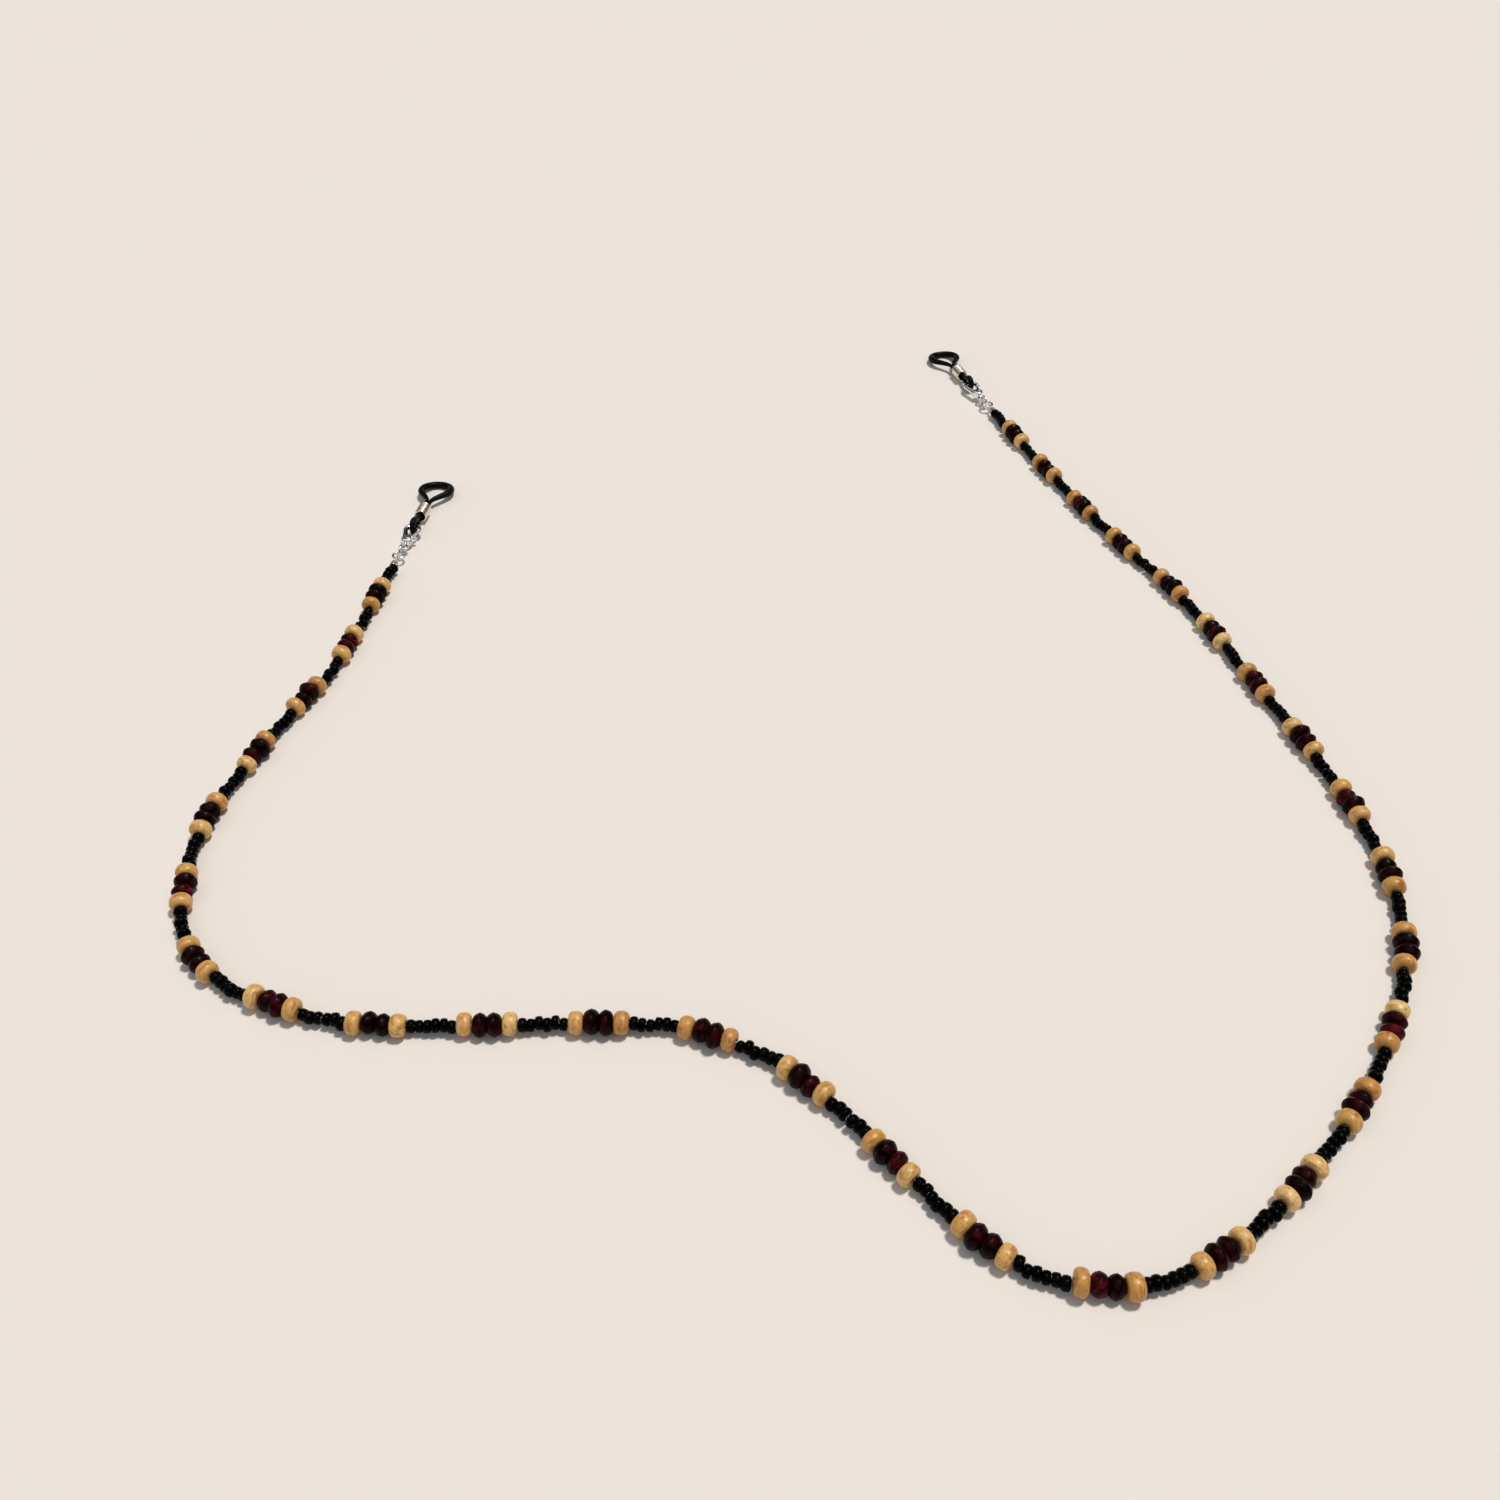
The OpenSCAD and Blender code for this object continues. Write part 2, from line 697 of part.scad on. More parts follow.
// The loop's half outline as [distance outwards, half width, rubber radius]: round the
// hook, along the neck and round the large eye
small_stations = [
    for (a = [180:-small_turn:small_side])
        [small_eye_r * cos(a), small_eye_r * sin(a), small_rubber_d / 2],
    for (i = [1:small_steps - 1])
        let (t = i / small_steps)
        concat(
            cubic(
                small_eye_r * [cos(small_side), sin(small_side)],
                small_eye_l * small_bulge * [sin(small_side), -cos(small_side)],
                [small_eye_l, neck_offset], [small_eye_l * small_bulge, 0], t
            ),
            small_rubber_d / 2 + (neck_rubber_d - small_rubber_d) / 2 * t
        )
];
neck_stations = [
    for (i = [0:neck_steps])
        [
            small_eye_l + (neck_end_x - small_eye_l) * i / neck_steps, neck_offset,
            neck_rubber_d / 2
        ]
];
large_stations = [
    for (i = [1:large_steps - 1])
        let (t = i / large_steps)
        concat(
            cubic(
                [neck_end_x, neck_offset], [large_eye_l * large_bulge, 0],
                [large_bend_x, 0] + large_eye_r * [cos(large_side), sin(large_side)],
                large_eye_l * large_bulge * [sin(large_side), -cos(large_side)], t
            ),
            neck_rubber_d / 2 + (rubber_d - neck_rubber_d) / 2 * t
        ),
    for (i = [0:large_turns])
        let (a = large_side * (1 - i / large_turns))
        [large_bend_x + large_eye_r * cos(a), large_eye_r * sin(a), rubber_d / 2]
];
half_loop = concat(small_stations, neck_stations, large_stations);

// The loop is upright at the small eye, turns a quarter along the neck and then lies flat
function quarter(x) = 90 * min(1, max(0, (x - small_eye_l) / (neck_end_x - small_eye_l)));
function droop(x) = eye_droop * pow(max(0, x - neck_end_x) / large_eye_l, 2);
function loop_point(h, side) = [
    h[0], -side * h[1] * sin(quarter(h[0])),
    side * h[1] * cos(quarter(h[0])) - droop(h[0])
];
function loop_across(h) = [0, cos(quarter(h[0])), sin(quarter(h[0]))];

module rubber_loop() {
    n = len(half_loop);
    back = [for (i = [n - 2:-1:1]) half_loop[i]];
    path = concat(
        [for (h = half_loop) loop_point(h, 1)], [for (h = back) loop_point(h, -1)]
    );
    all = concat(half_loop, back);
    color(rubber_black) in_loop()
        tube(
            path, [for (h = all) h[2]], [for (h = all) loop_across(h)],
            sides = rubber_sides, closed = true
        );
}

// A close-wound wire helix that grips both strands of the neck
module loop_coil() {
    turns = (coil_l - coil_wire_d) / coil_turn;
    angles = [for (i = [0:floor(turns * turn_steps)]) 360 * i / turn_steps];
    path = [
        for (a = angles)
            [coil_start_x + coil_wire_d / 2 + coil_turn * a / 360, coil_r * cos(a), coil_r * sin(a)]
    ];
    color(chrome) in_loop()
        tube(
            path, [for (p = path) coil_wire_d / 2], [for (p = path) [1, 0, 0]],
            sides = wire_sides
        );
}

strand_thread(0);  // strand_1_thread
strand_seed_beads(0);  // strand_1_seed_beads
strand_light_beads(0);  // strand_1_light_beads
strand_dark_beads(0);  // strand_1_dark_beads
strand_thread(1);  // strand_2_thread
strand_seed_beads(1);  // strand_2_seed_beads
strand_light_beads(1);  // strand_2_light_beads
strand_dark_beads(1);  // strand_2_dark_beads
strand_thread(2);  // strand_3_thread
strand_seed_beads(2);  // strand_3_seed_beads
strand_light_beads(2);  // strand_3_light_beads
strand_dark_beads(2);  // strand_3_dark_beads
strand_thread(3);  // strand_4_thread
strand_seed_beads(3);  // strand_4_seed_beads
strand_light_beads(3);  // strand_4_light_beads
strand_dark_beads(3);  // strand_4_dark_beads
strand_thread(4);  // strand_5_thread
strand_seed_beads(4);  // strand_5_seed_beads
strand_light_beads(4);  // strand_5_light_beads
strand_dark_beads(4);  // strand_5_dark_beads
strand_thread(5);  // strand_6_thread
strand_seed_beads(5);  // strand_6_seed_beads
strand_light_beads(5);  // strand_6_light_beads
strand_dark_beads(5);  // strand_6_dark_beads
strand_thread(6);  // strand_7_thread
strand_seed_beads(6);  // strand_7_seed_beads
strand_light_beads(6);  // strand_7_light_beads
strand_dark_beads(6);  // strand_7_dark_beads
at_end(0) crimp_bead();  // left_crimp_bead
at_end(0) thread_loop();  // left_thread_loop
at_end(0) strand_ring();  // left_strand_ring
at_end(0) clasp_ring();  // left_clasp_ring
at_end(0) clasp_body();  // left_clasp_body
at_end(0) clasp_rivet();  // left_clasp_rivet
at_end(0) clasp_spring();  // left_clasp_spring
at_end(0) clasp_lever();  // left_clasp_lever
at_end(0) rubber_loop();  // left_rubber_loop
at_end(0) loop_coil();  // left_loop_coil
at_end(1) crimp_bead();  // right_crimp_bead
at_end(1) thread_loop();  // right_thread_loop
at_end(1) strand_ring();  // right_strand_ring
at_end(1) clasp_ring();  // right_clasp_ring
at_end(1) clasp_body();  // right_clasp_body
at_end(1) clasp_rivet();  // right_clasp_rivet
at_end(1) clasp_spring();  // right_clasp_spring
at_end(1) clasp_lever();  // right_clasp_lever
at_end(1) rubber_loop();  // right_rubber_loop
at_end(1) loop_coil();  // right_loop_coil
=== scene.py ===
# %% [markdown]
# # A beaded eyeglass strap
#
# The strap lies on a table as if it had just been taken off. A nylon thread carries runs of black
# glass seed beads and groups of wooden beads. At each end a crimp bead closes the thread into a
# little loop. Two jump rings follow, then a lobster clasp, and then a black rubber loop that grips
# the temple arm of a pair of glasses.
#
# The mechanical model gives every moving body and its place. This script gives each piece the
# shape and finish that a camera sees, and ties the piece to its body.

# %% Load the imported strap
import json
from math import asin, cos, degrees, pi, radians, sin

import bmesh
import bpy
from mathutils import Matrix, Vector


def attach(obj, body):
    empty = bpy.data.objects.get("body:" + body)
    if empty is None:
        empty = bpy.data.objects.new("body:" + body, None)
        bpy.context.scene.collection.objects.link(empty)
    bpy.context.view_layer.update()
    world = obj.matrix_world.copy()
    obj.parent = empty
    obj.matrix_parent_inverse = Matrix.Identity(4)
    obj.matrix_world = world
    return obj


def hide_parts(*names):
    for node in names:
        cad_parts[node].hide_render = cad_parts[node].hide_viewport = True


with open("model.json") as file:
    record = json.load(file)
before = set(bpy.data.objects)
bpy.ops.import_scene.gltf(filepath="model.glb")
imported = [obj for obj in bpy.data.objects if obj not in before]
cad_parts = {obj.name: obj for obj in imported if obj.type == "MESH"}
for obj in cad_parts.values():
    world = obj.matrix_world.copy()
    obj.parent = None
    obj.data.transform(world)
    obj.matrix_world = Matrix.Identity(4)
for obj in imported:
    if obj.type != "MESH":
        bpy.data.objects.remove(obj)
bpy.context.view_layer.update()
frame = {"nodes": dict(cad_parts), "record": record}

# %% [markdown]
# Blender works in metres, but beads are easier to think of in millimetres. So every size below is
# in millimetres, and MM turns it into metres where it meets Blender.

# %% Units and ends
MM = 0.001
UP = Vector((0, 0, 1))
ends = ("left", "right")

# %% [markdown]
# ## The camera
# It stands 20 cm above the table, in front of the strap's near bight, and looks down at 42 degrees.
# Its moderate wide angle makes the near beads look larger than the far ones.

# %% Camera
camera_place = Vector((-7.0, -249.6, 200.05))
camera_dip = 42.32
camera_data = bpy.data.cameras.new("camera")
camera_data.lens = 33.19
camera_data.sensor_width = 36
camera_data.clip_start = 5 * MM
camera = bpy.data.objects.new("camera", camera_data)
camera.location = camera_place * MM
camera.rotation_euler = (radians(90 - camera_dip), 0, 0)
bpy.context.scene.collection.objects.link(camera)
bpy.context.scene.camera = camera
print("The camera is", round(camera_place.length), "mm from the middle of the strap")

# %% [markdown]
# ## What hangs on the thread
# Every length of the pattern follows from a few sizes: two light beads hold two dark ones, and a
# run of seed beads comes before the next group. The strand bends in the middle of six of these
# runs, so it is seven lengths long, each with its own number of groups. The same counts and gaps as
# in the mechanical model put each bead on the body that carries it.

# %% Sizes of the beads and of the stringing
light_d, light_l = 4.5, 2.8
dark_d, dark_l, dark_face_d, dark_rim = 4.5, 2.45, 1.8, 0.3
seed_d, seed_l = 2.7, 1.36
wood_hole, seed_hole = 1.0, 0.8
thread_d, thread_clear = 0.4, 0.05
bead_gap, bend_gap, thread_end_gap = 0.08, 0.35, 0.1
run_count, left_run_count = 6, 5
groups_in_strand = (4, 4, 5, 5, 5, 4, 4)
beads_before_bend = 3

strands = range(len(groups_in_strand))
seed_step = seed_l + bead_gap
group_l = 2 * light_l + 2 * dark_l + 3 * bead_gap
pitch = group_l + bead_gap + run_count * seed_step
bend_extra = bend_gap - bead_gap


def groups_before(s):
    return sum(groups_in_strand[:s])


def group_start(g):
    """Distance along the thread of a group of wooden beads."""
    return left_run_count * seed_step + g * pitch


def run_start(r):
    """Distance along the thread of a run of seed beads."""
    return group_start(r - 1) + group_l + bead_gap if r else 0


def bend_at(s):
    """Distance of the bend between length s of the strand and the next."""
    run = run_start(groups_before(s + 1))
    return run + beads_before_bend * seed_step - bead_gap + s * bend_extra + bend_gap / 2


strand_l = (
    run_start(sum(groups_in_strand)) + run_count * seed_step - bead_gap + strands[-1] * bend_extra
)
print("The strung beads are", round(strand_l, 2), "mm long")

# %% [markdown]
# ## Distances along an end
# Both ends are built alike, outwards from the last seed bead: a crimp bead, the thread's loop, two
# jump rings, the clasp, and the rubber loop with its sleeve. The distances follow the mechanical
# model's. They come first because the length of an end also decides where the strap is centred.

# %% Heights of the thread and of the beads
thread_z = light_d / 2 - (wood_hole - thread_d) / 2 + thread_clear
seed_z = thread_z - (seed_hole - thread_d) / 2 + thread_clear
print("The thread runs", round(thread_z, 2), "mm above the table")

# %% From the crimp bead to the clasp's tail, in millimetres
link_gap = 0.1
crimp_d, crimp_l, crimp_play = 1.7, 1.4, 0.1
turn_clear = 0.03
thread_loop_w, thread_loop_l = 1.7, 1.8
ring_d, ring_wire_d, ring_cut = 3.6, 0.65, 4.0
tail_wire_d, tail_play, tail_lift = 0.72, 0.245, 0.15

crimp_x = bead_gap + crimp_l / 2
turn_r = thread_d / 2 + turn_clear
turn_x = crimp_x + thread_d
thread_stop_x = turn_x - turn_r - thread_d - thread_clear
thread_loop_r = (thread_loop_w - thread_d) / 2
thread_loop_x = bead_gap + crimp_l + thread_loop_l
ring_r = (ring_d - ring_wire_d) / 2
strand_ring_x = (
    thread_loop_x + thread_loop_r - thread_d / 2 - link_gap - ring_wire_d / 2 + ring_r
)
clasp_ring_x = strand_ring_x + 2 * ring_r - ring_wire_d - link_gap
tail_r = ring_wire_d / 2 + tail_play + tail_wire_d / 2
tail_x = clasp_ring_x + ring_r - ring_wire_d / 2 - link_gap - tail_wire_d / 2 + tail_r

# %% From the clasp to the far end of the rubber loop
hook_wire_d, hook_x = 1.2, 9.1
boss_x, boss_t, rivet_drop = 2.7, 2.2, 0.35
rivet_d, rivet_head_d, rivet_head_h, rivet_fit = 0.6, 0.9, 0.12, 0.01
rubber_d, small_rubber_d, neck_rubber_d = 1.8, 1.6, 1.0
large_eye_w, large_eye_l, small_eye_l, eye_play = 9.6, 10.5, 4.2, 0.15
neck_clear, coil_end_play, table_clear = 0.03, 0.1, 0.2
coil_wire_d, coil_l, coil_travel, coil_play, coil_turn = 0.6, 5.2, 2.4, 0.05, 0.66
loop_pitch = 0.8

small_eye_r = hook_wire_d / 2 + eye_play + small_rubber_d / 2
neck_offset = neck_rubber_d / 2 + neck_clear
coil_r = neck_offset + neck_rubber_d / 2 + coil_play + coil_wire_d / 2
coil_start_x = small_eye_l + coil_end_play
neck_end_x = coil_start_x + coil_l + coil_travel + coil_end_play
large_eye_r = (large_eye_w - rubber_d) / 2
large_bend_x = neck_end_x + large_eye_l - large_eye_r
rubber_far_x = neck_end_x + large_eye_l
ring_z = ring_d / 2
hook_z = max(small_eye_r + small_rubber_d / 2, coil_r + coil_wire_d / 2 + table_clear)
tail_z = ring_z + tail_lift
clasp_pitch = degrees(asin((hook_z - tail_z) / hook_x))
eye_droop = hook_z - rubber_d / 2 - rubber_far_x * sin(radians(loop_pitch))
end_reach = tail_x + hook_x + rubber_far_x + rubber_d / 2
print("An end reaches", round(end_reach, 2), "mm beyond the beads")

# %% [markdown]
# ## The thread's route
# One nylon thread runs through every bead, in the loose curve that it fell into. Its route is a
# handful of points on the table. A smooth cubic through them is scaled until it is exactly as
# long as the beads that hang on it. The mechanical model uses the same points and the same rule,
# so the thread and its beads land where the moving bodies are.

# %% The route, in metres
route = [Vector((x, y, 0)) * MM for x, y in (
    (-96, 35), (-98, 20), (-102, -6), (-108, -22), (-113, -38), (-117, -55), (-116, -70),
    (-113, -82), (-105, -93), (-94, -99), (-77, -104), (-58, -104.5), (-37, -104),
    (-20, -104.5), (-2, -112), (12, -126), (24, -140), (31, -147), (40, -151), (51, -152),
    (61, -149), (77, -138), (92, -123), (104, -107), (113, -89), (117, -69), (116, -51),
    (107, -12), (96, 27), (88, 44), (74, 82), (64, 113),
)]
stations_per_leg = 2
legs = [(b - a).length for a, b in zip(route, route[1:])]


def cubic(a, da, b, db, t):
    """A smooth step from a to b that leaves along da and arrives along db."""
    return (
        (2 * t**3 - 3 * t * t + 1) * a + (t**3 - 2 * t * t + t) * da
        + (3 * t * t - 2 * t**3) * b + (t**3 - t * t) * db
    )


def heading(i):
    """Direction of the route at its point i: the two legs' directions, mixed by their lengths."""
    if i in (0, len(legs)):
        i = min(i, len(legs) - 1)
        return (route[i + 1] - route[i]) / legs[i]
    back, ahead = legs[i - 1], legs[i]
    mixed = (route[i] - route[i - 1]) / back * ahead + (route[i + 1] - route[i]) / ahead * back
    return mixed / (back + ahead)


def mid_box(points, end_y):
    """Where the strap's middle is before it is centred: its beads reach half a bead further."""
    xs, ys = [p.x for p in points], [p.y for p in points]
    return Vector((min(xs) + max(xs), min(ys) - light_d / 2 * MM + end_y, 0)) / 2


drawn = [
    cubic(route[i], legs[i] * heading(i), route[i + 1], legs[i] * heading(i + 1),
          k / stations_per_leg)
    for i in range(len(legs)) for k in range(stations_per_leg)
] + [route[-1]]
drawn_l = sum((b - a).length for a, b in zip(drawn, drawn[1:]))
stations = [p * (strand_l * MM / drawn_l) for p in drawn]
headings = {
    "left": (stations[0] - stations[1]).normalized(),
    "right": (stations[-1] - stations[-2]).normalized(),
}

# The right temple eye, a half circle at its end, reaches this much further back than the beads do
far_y = (end_reach - large_eye_w / 2) * headings["right"].y + large_eye_w / 2
middle = mid_box(stations, stations[-1].y + far_y * MM)
stations = [p - middle for p in stations]
distances = [0.0]
for a, b in zip(stations, stations[1:]):
    distances.append(distances[-1] + (b - a).length / MM)
print(len(stations), "stations, from", stations[0] / MM, "to", stations[-1] / MM)


# %% A place on the thread
def thread_point(d, z=0.0):
    """Point of the thread at a distance along it, in metres, straight on past both ends."""
    lift = UP * z * MM
    if d <= 0:
        return stations[0] - d * MM * headings["left"] + lift
    if d >= distances[-1]:
        return stations[-1] + (d - distances[-1]) * MM * headings["right"] + lift
    i = next(k for k in range(len(legs) * stations_per_leg) if distances[k + 1] >= d)
    share = (d - distances[i]) / (distances[i + 1] - distances[i])
    return stations[i].lerp(stations[i + 1], share) + lift


def thread_direction(d):
    """Direction of the thread at a place, smoothed over one wooden bead each way."""
    return (thread_point(d + light_l) - thread_point(d - light_l)).normalized()


# %% [markdown]
# ## One piece, one body
# Every piece that is drawn here takes the place of a plainer one in the mechanical model, its node.
# `dress` says which one, which body it moves with and which finish it has. The name of the node is
# the key to all three, so nothing can be tied to the wrong end.

# %% Names, bodies and finishes
body_of_node = {
    name: body for body, names in frame["record"]["behaviour"]["bodies"].items() for name in names
}
slot_of_node = {s["node"]: s["material_slot"] for s in frame["record"]["subparts"]}
finishes = {}
pieces = {}


def dress(piece, cad_name):
    """The piece takes a CAD node's place, body and finish."""
    slot = slot_of_node[cad_name]
    if not piece.data.materials:
        piece.data.materials.append(finishes[slot])
    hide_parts(cad_name)
    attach(piece, body_of_node[cad_name])
    pieces[cad_name] = piece


def show(name, mesh):
    """A mesh or a curve becomes an object in the scene, at the origin."""
    piece = bpy.data.objects.new(name, mesh)
    bpy.context.scene.collection.objects.link(piece)
    return piece


# %% [markdown]
# ## Thread
# The thread is seen only where it leaves the last bead and inside the gaps, but everything hangs
# on it, so it is a true cord of the right length. A curve with a round bevel is the simplest way
# to make one: its own line is the thread's middle. It is cut at the six places where the strand
# bends, because each length rides its own body.

# %% Thread
thread_points = 24


def thread_span(s):
    """Distances at which length s of the thread starts and ends."""
    start = bend_at(s - 1) + thread_end_gap if s else -thread_stop_x
    stop = bend_at(s) - thread_end_gap if s < strands[-1] else strand_l + thread_stop_x
    return start, stop


threads = []
for s in strands:
    start, stop = thread_span(s)
    curve = bpy.data.curves.new(f"thread_{s + 1}", "CURVE")
    curve.dimensions = "3D"
    curve.bevel_depth = thread_d / 2 * MM
    curve.bevel_resolution = 3
    curve.use_fill_caps = True
    spline = curve.splines.new("POLY")
    spline.points.add(thread_points - 1)
    for k, point in enumerate(spline.points):
        d = start + (stop - start) * k / (thread_points - 1)
        point.co = (*thread_point(d, thread_z), 1)
    threads.append(show(f"thread_{s + 1}", curve))
print("Thread in", len(threads), "lengths, each about", round(strand_l / len(threads)), "mm")

# %% [markdown]
# ## Helpers for node trees
# Both Geometry Nodes and materials are graphs of nodes. An input of a node is given either a plain
# value or the output of another node, which becomes a wire. The helpers below keep each node on a
# line or two, so that the graphs can be read like sums.

# %% Node helpers
def set_inputs(tree, made, inputs):
    """Fills the inputs of a node with plain values or with wires."""
    for name, value in inputs.items():
        if isinstance(value, bpy.types.NodeSocket):
            tree.links.new(value, made.inputs[name])
        else:
            made.inputs[name].default_value = value


def node(tree, kind, inputs=(), **settings):
    """Adds a node. `settings` are its properties, and `inputs` its values or incoming wires."""
    made = tree.nodes.new(kind)
    for name, value in settings.items():
        setattr(made, name, value)
    set_inputs(tree, made, dict(inputs))
    return made


def new_tree(name, kind, inputs, outputs):
    """A node group with named sockets. Returns it with its two end nodes."""
    tree = bpy.data.node_groups.new(name, kind)
    for way, sockets in (("INPUT", inputs), ("OUTPUT", outputs)):
        for label, socket_kind in sockets.items():
            tree.interface.new_socket(label, in_out=way, socket_type="NodeSocket" + socket_kind)
    return tree, node(tree, "NodeGroupInput"), node(tree, "NodeGroupOutput")


def maths(tree, operation, a, b):
    return node(tree, "ShaderNodeMath", {0: a, 1: b}, operation=operation).outputs[0]


def vector_maths(tree, operation, a, b):
    """The same for vectors. SCALE takes a plain number, which has a socket of its own."""
    second = "Scale" if operation == "SCALE" else 1
    made = node(tree, "ShaderNodeVectorMath", {0: a, second: b}, operation=operation)
    return made.outputs["Value" if operation == "DOT_PRODUCT" else 0]


def noise(tree, place, scale, detail, **others):
    """A cloudy pattern from 0 to 1."""
    inputs = {"Vector": place, "Scale": scale, "Detail": detail, **others}
    return node(tree, "ShaderNodeTexNoise", inputs).outputs[0]


def between(tree, value, low, high):
    """Stretches a value from 0..1 to low..high."""
    made = node(tree, "ShaderNodeMapRange", {"Value": value, "To Min": low, "To Max": high})
    return made.outputs[0]


def mask(tree, value, low, high):
    """0 where a value is below low, 1 where it is above high, and a slope from one to the other."""
    made = node(tree, "ShaderNodeMapRange", {"Value": value, "From Min": low, "From Max": high})
    return made.outputs[0]


def run_tree(base, tree, values):
    """Runs a Geometry Nodes tree on an object and keeps the result as its plain mesh."""
    modifier = base.modifiers.new(tree.name, "NODES")
    modifier.node_group = tree
    for item in tree.interface.items_tree:
        if item.in_out == "INPUT" and item.name in values:
            modifier[item.identifier] = values[item.name]

    graph = bpy.context.evaluated_depsgraph_get()
    result = bpy.data.meshes.new_from_object(
        base.evaluated_get(graph), preserve_all_data_layers=True, depsgraph=graph)
    base.modifiers.remove(modifier)
    result.name = base.name
    base.data = result
    return base


# %% [markdown]
# ## Shared surface effects
# Real surfaces are never even. Wood has grain and pores, and no two beads of a handful take the
# stain alike. Metal and rubber have hairline scratches and smears from handling. Each effect is a
# node group with named inputs, so that each material can set its own scales. A group only puts out
# numbers. What they do to the colour, the roughness and the bump is settled in the material.

# %% Wood grain
# A bead's tone moves it on to another place in the wood. Grain runs along Y, so it changes slowly
# that way, and the pores are the flecks that rise above a level.
shift_by_tone = (17.0, 31.0, 47.0)
grain_stretch = (1.0, 0.16, 1.0)
pore_low, pore_high, pore_depth = 0.62, 0.72, 0.6

wood_grain, source, sink = new_tree(
    "wood_grain", "ShaderNodeTree",
    {"Place": "Vector", "Tone": "Float", "Rings": "Float", "Pores": "Float"},
    {"Grain": "Float", "Pore mask": "Float", "Height": "Float"},
)
given = source.outputs
shift = vector_maths(wood_grain, "SCALE", shift_by_tone, given["Tone"])
own_wood = vector_maths(wood_grain, "ADD", given["Place"], shift)
long_wood = vector_maths(wood_grain, "MULTIPLY", own_wood, grain_stretch)
bands = noise(wood_grain, long_wood, given["Rings"], 4.0, Roughness=0.6, Distortion=0.35)
flecks = noise(wood_grain, long_wood, given["Pores"], 2.0, Roughness=0.5)
pore_mask = mask(wood_grain, flecks, pore_low, pore_high)
sunk = maths(wood_grain, "MULTIPLY", pore_mask, -pore_depth)
set_inputs(wood_grain, sink, {"Grain": bands, "Pore mask": pore_mask,
                              "Height": maths(wood_grain, "ADD", bands, sunk)})

# %% Handling marks
# Scratches are noise that is pressed together across their own direction
scratch_stretch = (1.0, 9.0, 2.5)
scratch_low, scratch_high = 0.45, 0.75

handling, source, sink = new_tree(
    "handling_marks", "ShaderNodeTree",
    {"Place": "Vector", "Scratch scale": "Float", "Smear scale": "Float"},
    {"Scratches": "Float", "Smears": "Float"},
)
given = source.outputs
scored = vector_maths(handling, "MULTIPLY", given["Place"], scratch_stretch)
lines = noise(handling, scored, given["Scratch scale"], 3.0)
smears = noise(handling, given["Place"], given["Smear scale"], 2.0)
set_inputs(handling, sink, {"Scratches": mask(handling, lines, scratch_low, scratch_high),
                            "Smears": smears})
print("Shared effects:", wood_grain.name, "and", handling.name)

# %% [markdown]
# ## Materials
# Each finish is one Principled shader. A shared effect, or a plain noise where that is enough,
# drives its colour and roughness, and its bump where it has one. The beads carry two attributes of
# their own: `bead_place`, a point's place inside its bead, which keeps the grain in the bead when
# it is turned, and `tone`, one number for each bead, which says how light it came out.

# %% Material helpers
def new_finish(name):
    """A material, kept under its slot's name. Returns its node tree and its Principled shader."""
    material = bpy.data.materials.new(name)
    material.use_nodes = True
    finishes[name] = material
    return material.node_tree, material.node_tree.nodes["Principled BSDF"]


def attribute(tree, name, output):
    return node(tree, "ShaderNodeAttribute", attribute_name=name).outputs[output]


def object_place(tree):
    """A place on the piece, in metres."""
    return node(tree, "ShaderNodeTexCoord").outputs["Object"]


def grey(level):
    return (level, level, level)


def ramp(tree, value, stops):
    """A colour ramp: each stop is a position and a colour."""
    made = node(tree, "ShaderNodeValToRGB", {0: value})
    stock = made.color_ramp.elements
    while len(stock) < len(stops):
        stock.new(0.5)
    for element, (position, colour) in zip(stock, stops):
        element.position = position
        element.color = (*colour, 1.0)
    return made.outputs[0]


def blend_colours(tree, share, a, b, mode="MIX"):
    """A Mix node has sockets for each kind of data: 6 and 7 take colours, and 2 gives one."""
    made = node(tree, "ShaderNodeMix", data_type="RGBA", blend_type=mode)
    set_inputs(tree, made, {0: share, 6: a, 7: b})
    return made.outputs[2]


def bump(tree, height, depth):
    """A normal that makes a height of 0..1 look as deep as said, in millimetres."""
    made = node(tree, "ShaderNodeBump", {"Height": height, "Distance": depth * MM, "Strength": 1.0})
    return made.outputs[0]


def handled(tree, scratch_scale, smear_scale):
    """The handling marks of a piece, at their own scales."""
    inputs = {"Place": object_place(tree), "Scratch scale": scratch_scale,
              "Smear scale": smear_scale}
    return node(tree, "ShaderNodeGroup", inputs, node_tree=handling).outputs


# %% [markdown]
# ### Wood
# Both kinds of wooden bead are turned from the same fine-grained wood. The light ones have only a
# thin varnish. The dark ones have drunk a burgundy stain. Their grain shows as a few bright red
# streaks, partly where the stain took unevenly and partly painted red glints. So one function makes
# both. A painted image would need every bead unwrapped, and all would show the same grain. The
# wood_grain group needs only a place, and each bead gets its own cut of the wood.

# %% Turned wood
grain_depth = 0.02


def stained_wood(name, tones, grain_and_glint_colours, pore_colour, rings, pores, rough, coat, coat_rough,
                 shine):
    """Each bead's own tone, with grain over it, dark pores and a thin coat of varnish."""
    tree, shader = new_finish(name)
    tone = attribute(tree, "tone", "Fac")
    inputs = {"Place": attribute(tree, "bead_place", "Vector"), "Tone": tone, "Rings": rings,
              "Pores": pores}
    grain = node(tree, "ShaderNodeGroup", inputs, node_tree=wood_grain).outputs
    # The streaks' colours scale the tone. The dark wood's, far above 1, are partly the stain's
    # uneven take and partly painted red glints.
    streaks = ramp(tree, grain["Grain"], grain_and_glint_colours)
    streaked = blend_colours(tree, 1.0, ramp(tree, tone, tones), streaks, "MULTIPLY")
    set_inputs(tree, shader, {
        "Base Color": blend_colours(tree, grain["Pore mask"], streaked, (*pore_colour, 1.0)),
        "Roughness": between(tree, grain["Grain"], *rough),
        "Specular IOR Level": shine, "Coat Weight": coat, "Coat Roughness": coat_rough,
        "Normal": bump(tree, grain["Height"], grain_depth),
    })


